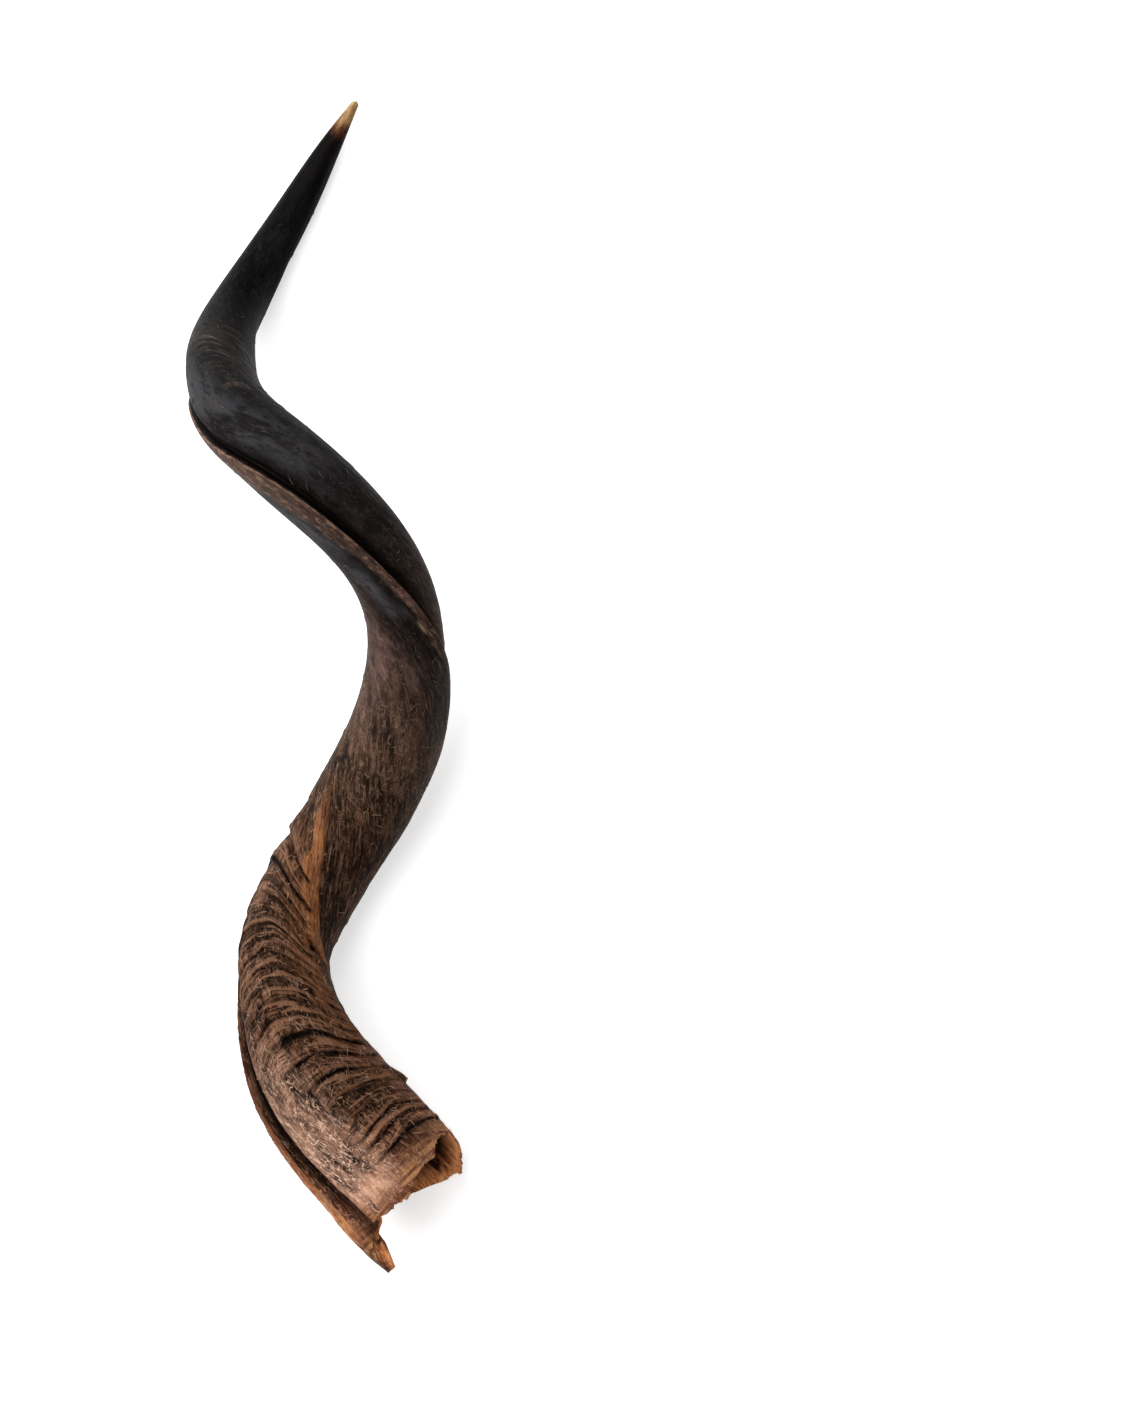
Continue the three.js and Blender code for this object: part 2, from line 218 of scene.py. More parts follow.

# More of these looks: strengths, places in mm, and the middle and width of an angle in degrees. The
# dark band's edges wave by so many mm, so many times round the horn.
# A painted sheen on the black below the keel's lip
LOWER_SHEEN = 1.2
LOWER_SHEEN_PLACES = ((505, 530), (600, 650))
LOWER_SHEEN_ANGLES = (-30, 13)
SMOOTH_SIDE_UNFRAYED = 0.9
# How much fainter the groove's painted shade is at the base
GROOVE_FAINTER_AT_BASE = 0.35
DARK_BAND = 0.85
DARK_BAND_PLACES = ((373, 380), (384, 392))
DARK_BAND_WAVES = ((4, 3), (2, 11))
# A painted highlight along the keel's lip
LIP_EDGE_PLACES = ((200, 320), (690, 750))
LIP_EDGE_ANGLES = (3.2, 1.4)

# The flaked edge of the keel: place in mm, angle where it begins, and degrees until it is full
KEEL_FLAKES = np.array([(480, -24, 14), (520, -9, 6), (570, -11, 7), (610, -24, 13), (650, -46, 26)])
KEEL_FLAKES_END = (4, 6.5)

# Tones are taken from farther along the horn just before the keel's crest, and from nearer the base
# a quarter turn before it: how far in mm, and the middle and width of the angle in degrees
TONE_SHIFT_PLACES = ((410, 470), (560, 640))
TONE_SHIFTS = ((55, -24, 20), (-35, -88, 34))

# Rises in mm at which a plate's crest and a crevice's foot show fully
FULL_CREST = 1.6
FULL_CREVICE = 2.2

# Frayed fibres and small lumps: how thickly or deeply they show at places along the horn in mm
FRAYING = (
    (0, 60, 150, 200, 345, 420, 520, 720, 860, 991),
    (0.9, 1, 1, 0.7, 0.6, 0.34, 0.12, 0.08, 0.02, 0),
)
LUMPS = ((0, 60, 340, 420, 520, 900, 991), (0.4, 1, 1, 0.55, 0.3, 0.12, 0))

# Lumps, about 8 mm across and drawn out along the horn, and fibres: sizes in metres, and the shape
# of a sliver in shares of half its length
LUMP_DEPTH = 0.00045
LUMPS_PER_METRE = 120.0
LUMP_SHAPE = (1.0, 1.0, 0.45)
LUMP_GAIN = 4.0
FLOOR_LEVEL = (-9.0, -9.0, 0.0)
FIBRE_INPUTS = {"Per square metre": 52000.0, "Length": 0.0065, "Width": 0.00055, "Spread": 1.0, "Seed": SEED}
TUFTS_PER_METRE = 45.0
FIBRES_CLEAR_FLOOR = 0.004
SLIVER_SAG = 0.3
SLIVER_LIFT = 0.08
SLIVER_TAPER = 0.85
SLIVER_TILT = 0.05
SLIVER_FLATTENED = 0.8

# Mesh: columns from one angle to another by a step in degrees, and rows with a step in mm
COLUMN_BANDS = ((-8, 30, 0.62), (30, 148, 1.5), (148, 180, 1.0), (180, 352, 1.9))
RINGED_ROW = 1.55
SMOOTH_ROW = 6.0
SMOOTH_FROM = 345
LEAST_ROW_SHARE = 0.25
CAVITY_ROWS = 36
CAVITY_ROW_CROWDING = 0.8
CENTRE_STEPS = 4000


def smoothstep(value, low, high):
    """Rises smoothly from 0 at low to 1 at high."""
    share = np.clip((value - low) / (high - low), 0, 1)
    return share * share * (3 - 2 * share)


def fade(value, rise, fall):
    """Rises over the first pair of limits and falls over the second."""
    return smoothstep(value, *rise) * (1 - smoothstep(value, *fall))


def bump(value, centre, width):
    """A rounded bump of height 1."""
    return np.exp(-(((value - centre) / width) ** 2))


def wrap(degrees):
    """Wraps an angle into -180 to 180."""
    return (degrees + 180) % 360 - 180


def round_bump(degrees, angle, width):
    """A rounded bump of height 1 at an angle of the section."""
    return bump(wrap(degrees - angle), 0, width)


def spline_bends(knots, values):
    """Second derivatives of the natural cubic spline through the values."""
    spans = np.diff(knots)
    factors = np.zeros(len(knots))
    bends = np.zeros_like(values)
    for i in range(1, len(knots) - 1):
        pivot = 2 * (spans[i - 1] + spans[i]) - spans[i - 1] * factors[i - 1]
        change = (values[i + 1] - values[i]) / spans[i] - (values[i] - values[i - 1]) / spans[i - 1]
        factors[i] = spans[i] / pivot
        bends[i] = (6 * change - spans[i - 1] * bends[i - 1]) / pivot
    for i in range(len(knots) - 2, 0, -1):
        bends[i] -= factors[i] * bends[i + 1]
    return bends


class CentreLine:
    """The horn's centre line, measured by its own length in mm."""

    def __init__(self):
        points = STATIONS[:, :3]
        self.knots = np.r_[0, np.cumsum(np.linalg.norm(np.diff(points, axis=0), axis=1))]
        self.bends = spline_bends(self.knots, STATIONS)
        self.steps = np.linspace(0, self.knots[-1], CENTRE_STEPS + 1)
        lengths = np.linalg.norm(np.diff(self.values(self.steps)[:, :3], axis=0), axis=1)
        self.lengths = np.r_[0, np.cumsum(lengths)]
        self.length = self.lengths[-1]

    def values(self, knot):
        """Place, radius and keel angle at spline knots."""
        i = np.clip(np.searchsorted(self.knots, knot) - 1, 0, len(self.knots) - 2)
        span = (self.knots[i + 1] - self.knots[i])[..., None]
        a = (self.knots[i + 1] - knot)[..., None] / span
        b = 1 - a
        curve = (a ** 3 - a) * self.bends[i] + (b ** 3 - b) * self.bends[i + 1]
        return a * STATIONS[i] + b * STATIONS[i + 1] + curve * span * span / 6

    def sections(self, along):
        """Centre, up, side, forward, radius and keel angle at places along the line."""
        knot = np.interp(along, self.lengths, self.steps)
        values = self.values(knot)
        forward = self.values(knot + 0.5)[..., :3] - self.values(knot - 0.5)[..., :3]
        forward /= np.linalg.norm(forward, axis=-1, keepdims=True)
        up = np.array([0.0, 0.0, 1.0]) - forward * forward[..., 2:3]
        up /= np.linalg.norm(up, axis=-1, keepdims=True)
        return values[..., :3], up, np.cross(forward, up), forward, values[..., 3], values[..., 4]


CENTRE = CentreLine()


def near_base(along):
    """1 at the broken base and 0 past it."""
    return 1 - smoothstep(along, *BASE_BLEND)


def keel_shape(angle, along):
    """Height of the keel, gentle on one side and steep on the other."""
    slope = KEEL_SLOPE + (KEEL_SLOPE_AT_BASE - KEEL_SLOPE) * near_base(along)
    lip = np.sqrt(np.clip(1 - (angle / KEEL_LIP) ** 2, 0, 1))
    return np.where(angle <= 0, np.exp(-((angle / slope) ** 2)), lip)


def tip_fade(along):
    """1 along the horn and 0 at its tip."""
    return 1 - smoothstep(along, CENTRE.length - TIP_BLEND, CENTRE.length)


def section_shape(degrees, along, keel_share):
    """Radius over the station's radius, without growth rings."""
    angle = wrap(degrees)
    base = near_base(along)
    height = KEEL_HEIGHT + (KEEL_HEIGHT_AT_BASE - KEEL_HEIGHT) * base
    height = height + KEEL_FLARE * bump(along, KEEL_FLARE_AT, KEEL_FLARE_WIDTH)
    height = height - KEEL_END_DROP * (1 - smoothstep(along, *KEEL_END))
    height = height * (1 - KEEL_BREAK_SHARE * fade(along, *KEEL_BREAK))
    depth = GROOVE_DEPTH + (GROOVE_DEPTH_AT_BASE - GROOVE_DEPTH) * base
    keel = keel_share * height * keel_shape(angle, along)
    groove = depth * bump(angle, GROOVE_ANGLE, GROOVE_WIDTH)
    ridge = fade(along, RIDGE_START, RIDGE_STOP) * round_bump(degrees, RIDGE_ANGLE, RIDGE_WIDTH)
    oval = 1 - FLATTEN * np.cos(2 * np.radians(angle))
    return oval + (keel - groove) * tip_fade(along) + RIDGE_HEIGHT * ridge


def ring_lean(degrees, ring):
    """How far a ring line lies toward the base, in mm."""
    offset = np.abs(wrap(degrees - RING_FRONT)) / RING_LEAN_WIDTH
    on_ridge_side = smoothstep(np.sin(np.radians(degrees - RING_FRONT)), *RING_LEAN_CHANGE)
    most = RING_LEAN_BY_KEEL + (RING_LEAN - RING_LEAN_BY_KEEL) * on_ridge_side
    share = RING_LEAN_AT_BASE + (1 - RING_LEAN_AT_BASE) * smoothstep(ring, *RING_LEAN_BLEND)
    return most * share * (1 - np.exp(-(offset ** RING_LEAN_POWER)))


def ring_at(degrees, along):
    """The ring line through a place, found in a few steps."""
    ring = along
    for _ in range(RING_SEARCH_STEPS):
        ring = along + ring_lean(degrees, ring)
    return ring


def ring_share(degrees, ring):
    """Share of a ring's rise that shows at an angle."""
    past_base = smoothstep(ring, *BASE_RINGS_BLEND)
    (low, high), end = FRONT_RINGS
    low = BASE_RINGS_FROM[0] + (low - BASE_RINGS_FROM[0]) * past_base
    high = BASE_RINGS_FROM[1] + (high - BASE_RINGS_FROM[1]) * past_base
    back = BACK_RING_SHARE * (1 - smoothstep(ring, *BACK_RING_STOP))
    return fade(degrees, (low, high), end) + back * fade(degrees, *BACK_RINGS)


def plates(degrees, ring):
    """Height of the overlapping plates in mm, and how near a place is to the foot of a lip."""
    lips, rises = RINGS.T
    index = np.searchsorted(lips - RING_STEP, ring, side="right") - 1
    inside = index >= 0
    index = np.clip(index, 0, None)
    lip = lips[index]
    following = np.r_[lips[1:], lips[-1] + LAST_PLATE_LENGTH][index]
    rise = rises[index] * ring_share(degrees, ring)
    climb = smoothstep(ring, lip - RING_STEP, lip)
    fall = 1 - np.clip((ring - lip) / (following - RING_STEP - lip), 0, 1) ** PLATE_ROUNDING
    height = np.where(ring < lip, climb, fall) * rise
    foot = np.abs(ring[..., None] - (lips - RING_STEP * FOOT_SHARE))
    nearest = rises[foot.argmin(-1)]
    width = CREVICE_WIDTH + CREVICE_WIDTH_BY_RISE * nearest
    crevice = bump(foot.min(-1), 0, width) * nearest * ring_share(degrees, ring)
    return height * inside, crevice


def wander(degrees, ring):
    """Small sideways wander of the ring lines, in mm, so that no two run alike."""
    around = np.radians(degrees)
    return sum(height * np.sin(count * around + ring / length) for height, count, length in RING_WAVES)


def rim_at(degrees):
    """Place of the broken rim along the centre line, splintered, in mm."""
    around = np.radians(degrees % 360)
    swell = np.clip(np.sin(RIM_SWELLS_ROUND * around + 2) + 0.4, 0, 1)
    large, slow, small = RIM_TEETH_ROUND
    teeth = np.sin(large * around) * np.sin(slow * around + 1) + 0.5 * np.sin(small * around + 2)
    steps = np.abs((RIM_STEPS_ROUND * around / math.pi + 0.3 * np.sin(3 * around)) % 2 - 1) - 0.5
    return np.interp(degrees % 360, RIM[:, 0], RIM[:, 1]) + RIM_SPLINTERS * swell * (teeth + 1.2 * steps)


def place(degrees, along, reach):
    """Points at angles, places and distances from the centre line, in mm."""
    centre, up, side, _, _, turn = CENTRE.sections(along)
    angle = np.radians(turn + degrees)[..., None]
    return centre + reach[..., None] * (np.cos(angle) * up + np.sin(angle) * side)


def columns():
    """Angles of the mesh's columns, closest together at the keel and the ridge."""
    angles = [np.arange(start, stop, step) for start, stop, step in COLUMN_BANDS]
    return np.concatenate(angles)


def outer_rows(degrees):
    """Places along the centre line of the outer rows, one row of the array each."""
    rim = rim_at(degrees)
    ringed = np.arange(0, SMOOTH_FROM, RINGED_ROW) + RIM[:, 1].min()
    rows = []
    for ring in ringed:
        share = (ring - ringed[0]) / (SMOOTH_FROM - ringed[0])
        leaning = ring - ring_lean(degrees, ring)
        rows.append(np.maximum(leaning, rim + (SMOOTH_FROM - rim) * share * LEAST_ROW_SHARE))
    last = rows[-1]
    count = int((CENTRE.length - SMOOTH_FROM) / SMOOTH_ROW)
    for i in range(1, count + 1):
        rows.append(last + (CENTRE.length - last) * (i / count))
    return np.array([rim, *rows])


def ridge_mask(degrees, along):
    """1 on the smooth second ridge, whose one side is scalloped where the plates meet it."""
    middle = np.interp(along, RIDGE_PATH[:, 0], RIDGE_PATH[:, 1])
    offset = wrap(degrees - middle)
    width = np.interp(along, RIDGE_PATH[:, 0], RIDGE_PATH[:, 2])
    scallop = RIDGE_SCALLOP * width * np.sin(along / RIDGE_SCALLOP_STEP) * (offset < 0)
    return smoothstep(width + scallop - np.abs(offset), *RIDGE_EDGE) * fade(along, *RIDGE_ENDS)


def crack_mask(degrees, along):
    """1 in the slanted hole where the second ridge begins."""
    down_crack = degrees % 360 - CRACK_ANGLE
    half_width = CRACK_HALF_WIDTH - CRACK_NARROWS * down_crack
    across = np.abs(along - CRACK_PLACE + CRACK_SLANT * down_crack)
    return smoothstep(half_width - across, *CRACK_EDGE) * fade(down_crack, *CRACK_ENDS)


def chip_mask(degrees, along, size):
    """1 at the chip on the keel's lip, whose size is given in degrees and mm."""
    return round_bump(degrees, CHIP_ANGLE, size[0]) * bump(along, CHIP_PLACE, size[1])


def region(name, degrees, along):
    """How strongly a place has the look of a named region."""
    most, rise, fall, angle_rise, angle_fall = REGIONS[name]
    angle = (degrees - angle_rise[0]) % 360 + angle_rise[0]
    return most * fade(along, rise, fall) * fade(angle, angle_rise, angle_fall)


def keel_looks(degrees, along, shown):
    """The keel's flaked edge, its lip with a painted highlight and its chip, and the painted shade in the
    groove beside it and under the lip.
    """
    angle = wrap(degrees)
    begins = np.interp(along, KEEL_FLAKES[:, 0], KEEL_FLAKES[:, 1])
    full = begins + np.interp(along, KEEL_FLAKES[:, 0], KEEL_FLAKES[:, 2])
    flaked = smoothstep(angle, begins, full) * (1 - smoothstep(angle, *KEEL_FLAKES_END))
    return {
        "keel": flaked * (1 - shown["keel_end"]),
        "lip_edge": bump(angle, *LIP_EDGE_ANGLES) * fade(along, *LIP_EDGE_PLACES),
        "chip": chip_mask(degrees, along, CHIP_TONE_SIZE),
        "groove": np.maximum(shown["groove_floor"] + shown["groove_side"], shown["under_lip"]),
    }


def looks(degrees, along, ridge):
    """What the material needs to know of the outside, apart from its growth rings."""
    angle = wrap(degrees)
    around = np.radians(degrees)
    shown = {name: region(name, degrees, along) for name in REGIONS}
    facts = keel_looks(degrees, along, shown)
    rough = (1 - facts["groove"]) * (1 - ridge) * (1 - SMOOTH_SIDE_UNFRAYED * shown["smooth_side"])
    band_place = along + sum(height * np.sin(count * around) for height, count in DARK_BAND_WAVES)
    shift = sum(most * bump(angle, centre, width) for most, centre, width in TONE_SHIFTS)
    # A painted sheen below the keel's lip, added to the painted sheen on the black body
    lower_sheen = LOWER_SHEEN * fade(along, *LOWER_SHEEN_PLACES) * bump(angle, *LOWER_SHEEN_ANGLES)
    # The groove's painted shade, fainter at the base and gone at the tip
    fainter = 1 - GROOVE_FAINTER_AT_BASE * near_base(along)
    facts["groove"] = facts["groove"] * tip_fade(along) * fainter
    facts.update({name: shown[name] for name in ("right", "pale_side", "bend", "lined")})
    facts.update({
        "ridge": ridge,
        "sheen": shown["sheen"] + lower_sheen,
        "dark_band": DARK_BAND * fade(band_place, *DARK_BAND_PLACES),
        "toned_from": fade(along, *TONE_SHIFT_PLACES) * shift * MM,
        # Painted shade away from the light and under the keel's end
        "dim": np.max([shown[name] for name in DIM_REGIONS], axis=0),
        "from_rim": along - rim_at(degrees),
        "inside": np.zeros_like(along),
        "fray": np.interp(along, *FRAYING) * rough,
        "lumps": np.interp(along, *LUMPS),
    })
    return facts


def outer_face(degrees, along):
    """Points of the outer face in mm, their reach, and what the material needs to know of each."""
    degrees, along = np.broadcast_arrays(degrees, along)
    ring = ring_at(degrees, along)
    ring = ring + wander(degrees, ring) * fade(ring, *RING_WAVES_SHOW)
    height, crevice = plates(degrees % 360, ring)
    radius = CENTRE.sections(along)[4]
    crack = crack_mask(degrees, along)
    ridge = ridge_mask(degrees, along)
    bead = BEAD_HEIGHT * ridge * (1 + BEAD_SWELL * np.sin(along / BEAD_STEP))
    reach = radius * section_shape(degrees, along, 1) + height + bead - CRACK_DEPTH * crack
    reach = np.maximum(reach, LEAST_REACH)
    splinter = round_bump(degrees, SPLINTER_ANGLE, SPLINTER_WIDTH) * fade(along, *SPLINTER_PLACES)
    raised = SPLINTER_HEIGHT * splinter + CHIP_HEIGHT * chip_mask(degrees, along, CHIP_SIZE)
    overhang = bump(wrap(degrees), KEEL_OVERHANG_CENTRE, KEEL_OVERHANG_WIDTH) * tip_fade(along)
    points = place(degrees + KEEL_OVERHANG * overhang, along, reach + raised)
    facts = looks(degrees, along, ridge)
    facts["ring"] = ring * MM
    facts["ringed"] = region("ringed", degrees, ring)
    facts["crest"] = np.clip(height / FULL_CREST, 0, 1)
    facts["crevice"] = np.clip(crevice / FULL_CREVICE, 0, 1)
    facts["crack"] = crack
    return points, reach, facts


def inner_face(degrees, share):
    """Points of the inner face in mm, from the end of the cavity at 0 out to the rim at 1."""
    rim = rim_at(degrees)
    along = CAVITY_END + (rim - CAVITY_END) * share
    from_rim = along - rim
    depth = np.clip(from_rim / (CAVITY_END - rim), 0, 1)
    at_rim = 1 - smoothstep(from_rim, 0, WALL_THICKENS_OVER)
    wall = WALL + (RIM_WALL - WALL) * at_rim
    thickened = round_bump(degrees, 0, KEEL_WALL_WIDTH) * (1 - smoothstep(from_rim, *KEEL_WALL_ENDS))
    wall = wall + KEEL_WALL * thickened
    keel_share = CAVITY_KEEL + (RIM_CAVITY_KEEL - CAVITY_KEEL) * at_rim
    reach = CENTRE.sections(along)[4] * section_shape(degrees, along, keel_share) - wall
    reach = reach * np.sqrt(1 - depth ** CAVITY_ROUNDING)
    return place(degrees, along, reach), along, reach


def add_attributes(mesh, facts):
    """Stores each named array on the mesh's points for the material to read."""
    for name, values in facts.items():
        kind = "FLOAT_VECTOR" if values.ndim == 2 else "FLOAT"
        attribute = mesh.attributes.new(name, kind, "POINT")
        field = "vector" if values.ndim == 2 else "value"
        attribute.data.foreach_set(field, values.astype(np.float32).ravel())


def make_mesh(name, points, faces):
    """A smooth-shaded mesh object from points in mm."""
    mesh = bpy.data.meshes.new(name)
    mesh.from_pydata((points * MM).tolist(), [], faces)
    mesh.polygons.foreach_set("use_smooth", np.ones(len(mesh.polygons), dtype=bool))
    mesh.update()
    made = bpy.data.objects.new(name, mesh)
    bpy.context.scene.collection.objects.link(made)
    return made


def shell_faces(rows, count):
    """Quads between the rows, with a fan of triangles at each end."""
    faces = []
    last = 1 + rows * count
    for column in range(count):
        following = (column + 1) % count
        faces.append((0, 1 + following, 1 + column))
        end = 1 + (rows - 1) * count
        faces.append((last, end + column, end + following))
    for row in range(rows - 1):
        low = 1 + row * count
        for column in range(count):
            following = (column + 1) % count
            faces.append((low + column, low + following, low + count + following, low + count + column))
    return faces


def build_sheath():
    """The whole horn as one closed mesh, cavity first and then the outside."""
    degrees = columns()
    shares = (np.arange(1, CAVITY_ROWS + 1) / CAVITY_ROWS) ** CAVITY_ROW_CROWDING
    inner_points, inner_along, inner_reach = inner_face(degrees, shares[:, None])
    outer_along = outer_rows(degrees)
    outer_points, outer_reach, facts = outer_face(degrees, outer_along)
    ends, _, _, forward, _, _ = CENTRE.sections(np.array([CAVITY_END, CENTRE.length]))
    tip = ends[1] + forward[1] * TIP_CAP
    points = np.vstack([ends[0], inner_points.reshape(-1, 3), outer_points.reshape(-1, 3), tip])
    points[:, 2] = np.maximum(points[:, 2] - points[:, 2].min() - FLOOR_WEAR, 0)
    rows = CAVITY_ROWS + len(outer_along)
    horn = make_mesh("shell", points, shell_faces(rows, len(degrees)))

    from_rim = inner_along - rim_at(degrees)
    in_cavity = {"inside": np.ones(1 + from_rim.size), "from_rim": np.r_[CAVITY_END, from_rim.ravel()]}
    nothing = np.zeros(1 + from_rim.size)
    for name, values in facts.items():
        facts[name] = np.r_[in_cavity.get(name, nothing), values.ravel(), 0.0]
    along = np.r_[CAVITY_END, inner_along.ravel(), outer_along.ravel(), CENTRE.length]
    reach = np.r_[0.0, inner_reach.ravel(), outer_reach.ravel(), 0.0]
    around = np.radians(np.r_[0.0, np.tile(degrees, rows), 0.0])
    facts["straight"] = np.stack([reach * np.cos(around), reach * np.sin(around), along], axis=1) * MM
    facts["lengthways"] = CENTRE.sections(along)[3]
    add_attributes(horn.data, facts)
    return horn


def linear(code):
    """An sRGB hex colour as linear red, green, blue and alpha."""
    parts = [int(code[i:i + 2], 16) / 255 for i in (1, 3, 5)]
    return (*[p / 12.92 if p <= 0.04045 else ((p + 0.055) / 1.055) ** 2.4 for p in parts], 1.0)


def add_node(tree, kind, inputs=None, out=0, stops=None, **settings):
    """Adds a node with its settings, sets or links its inputs, fills its ramp, and gives one output."""
    node = tree.nodes.new(kind)
    for name, value in settings.items():
        setattr(node, name, value)
    for key, value in (inputs or {}).items():
        if isinstance(value, bpy.types.NodeSocket):
            tree.links.new(value, node.inputs[key])
        else:
            is_colour = isinstance(value, str) and value.startswith("#")
            node.inputs[key].default_value = linear(value) if is_colour else value
    if stops:
        ramp = node.color_ramp.elements
        while len(ramp) < len(stops):
            ramp.new(0.5)
        for element, (position, colour) in zip(ramp, stops):
            element.position = position
            element.color = linear(colour) if isinstance(colour, str) else (colour, colour, colour, 1.0)
    return node.outputs[out] if node.outputs else node


def along_stops(pairs):
    """Ramp stops from places along the horn in mm and their colours or values."""
    return [(along / CENTRE.length, shown) for along, shown in pairs]


# Tones of the keratin along the horn, from the broken base to the tip: place in mm, colour
BODY_TONES = along_stops((
    (0, "#84523C"), (50, "#7C4A38"), (85, "#42241A"), (125, "#2A160D"), (200, "#361F14"),
    (300, "#3E281B"), (345, "#332117"), (396, "#3C2A20"), (415, "#4A362B"), (460, "#4C3933"),
    (510, "#30241F"), (575, "#181413"), (640, "#161517"), (760, "#111010"), (900, "#0A0A0B"),
    (966, "#0C0807"), (972, "#4A2A1A"), (978, "#8A6644"), (991, "#AE8E66"),
))
PALE_TONES = along_stops((
    (0, "#C88C62"), (50, "#C0866A"), (105, "#845A42"), (150, "#74503B"), (300, "#765643"),
    (345, "#664735"), (398, "#5E4639"), (415, "#62493C"), (460, "#5E4A43"), (520, "#50403A"),
    (600, "#332C2A"), (680, "#2B292B"), (800, "#1E1D1F"), (900, "#161618"), (966, "#181210"),
    (972, "#7E5232"), (978, "#B8966A"), (991, "#D4BA96"),
))
DARK_TONES = along_stops((
    (0, "#32241D"), (50, "#2C1A12"), (85, "#1A0D07"), (130, "#0F0704"), (300, "#130A06"),
    (385, "#0E0704"), (460, "#1A120F"), (560, "#0E0A09"), (760, "#060606"), (960, "#060505"),
    (972, "#22120B"), (978, "#5A3E24"), (991, "#86663F"),
))
KEEL_TONES = along_stops((
    (0, "#5E4436"), (30, "#98603F"), (66, "#D8925F"), (105, "#A8643E"), (150, "#6A4230"),
    (420, "#6A4836"), (530, "#46322A"), (600, "#3E3029"), (660, "#4C3A32"), (720, "#5A4C44"),
    (800, "#2A2523"), (900, "#121111"),
))
FIBRE_TONES = along_stops((
    (0, "#D8AC88"), (60, "#CFA184"), (150, "#A9826A"), (300, "#A27C64"), (420, "#7C6252"),
    (520, "#5E4E46"), (640, "#56504E"), (860, "#444242"),
))

# How much shows at each place along the horn, from 0 to 1, and the roughness there
STROKES_SHOW = along_stops((
    (0, 0.95), (110, 0.9), (160, 0.5), (300, 0.42), (420, 0.4), (500, 0.35), (600, 0.22), (700, 0.22),
    (860, 0.1), (960, 0.0),
))
KEEL_SHOWS = along_stops((
    (0, 1.0), (120, 0.9), (220, 0.4), (340, 0.7), (430, 0.6), (470, 0.2), (508, 0.15), (524, 0.95),
    (760, 0.9), (830, 0.4), (900, 0.05),
))
SHOWN_BY_PLACE = {
    "strokes_show": STROKES_SHOW,
    "streaky": along_stops(((0, 1), (380, 1), (440, 0.75), (520, 0.55), (600, 0.25), (900, 0.2), (991, 0.8))),
    "relief_shows": along_stops(((0, 1), (340, 1), (460, 0.8), (600, 0.6), (900, 0.35), (991, 0.15))),
    "ragged": along_stops(((0, 1), (880, 1), (950, 0.12), (991, 0.05))),
    "roughness": along_stops(((0, 0.6), (300, 0.56), (480, 0.5), (620, 0.46), (900, 0.5), (991, 0.38))),
}
TONES_BY_PLACE = {
    "body": BODY_TONES,
    "pale": PALE_TONES,
    "dark": DARK_TONES,
    "keel_body": KEEL_TONES,
    "keel_shows": KEEL_SHOWS,
}

# Single tones
LEFT_OF_BASE = "#E8B092"
# Painted sheen on the black body
PAINTED_SHEEN = "#3C3B3E"
BEND_LINES = "#5E4E44"
AMBER_SHADE = "#4C2A18"
AMBER = "#98623C"
PLATE_END_GLOW = "#7E4F30"
KEEL_SHADE = "#1C1410"
KEEL_FLAKE = "#7A5E4E"
# A painted highlight along the keel's lip
LIP_HIGHLIGHT = "#8A6A56"
CHIP_TONE = "#8E7860"
HAIR = "#D9B08C"
HAIR_LEFT_OF_BASE = "#FFD6BC"
HAIR_FAR = "#74665C"
RIM_SHADE = "#5E3420"
RIM_AMBER = "#B88256"
# Painted shade in the crevices between plates, in the groove by the keel and in the crack
CREVICE_SHADE = "#0A0503"
GROOVE_SHADE = "#060302"
CRACK_SHADE = "#040201"
CAVITY_DARK = "#160A06"
CAVITY_BROWN = "#341C10"
# The mouth wall's amber, painted brighter than its own tone as light shining through the thin wall
INNER_AMBER_SHADE = "#CC7038"
INNER_AMBER = "#FFB67C"
INNER_STAIN = "#3E2416"
FIBRE_SHADE = "#2E1C12"

# Noises drawn out along the horn: size across and along in mm, detail, and a shift that sets it apart
NOISES = {
    "fibre": (1.0, 12, 2.0, 0.0),
    "strand": (3.0, 28, 4.0, 3.1),
    "flake": (3.4, 5, 2.0, 11.3),
    "tuft": (4.2, 9, 2.0, 17.9),
    "blotch": (6.0, 11, 2.0, 9.4),
    "patch": (13, 30, 3.0, 7.7),
    "stain": (22, 22, 1.0, 5.3),
}

# Drawn marks, as so many to a metre: growth lines 3 mm apart that run on for about 30 mm, longer
# ones 7 mm apart that run on for about 110 mm, curling hairs some 4 mm by 8 mm, and slivers of 2 mm
# by 9 mm. Hairs and slivers are coarser than the real ones, to show. All of these bend every 8 mm.
GROWTH_LINES = 330.0
GROWTH_LINE_BREAKS = 34.0
LONG_LINES = 150.0
LONG_LINE_BREAKS = 9.0
HAIRS = (230, 230, 120)
MORE_HAIRS_ON_LEFT = 0.06
SLIVERS = (520, 520, 110)
BENDS = 120.0
BEND_REACH = 0.0045
FIBRE_PATCHES = 160.0

# Relief in metres from the least to the most of each pattern, deeper than the real one, to show
RELIEF = {"fibre": 0.0009, "strand": 0.0020, "stroke": 0.0004, "cut": -0.0009, "crest": 0.0016}

# How far tones wander, as a share of the horn's length, and how uneven the roughness is
RAGGED_REACH = 0.13
UNEVEN_ROUGHNESS = 0.5

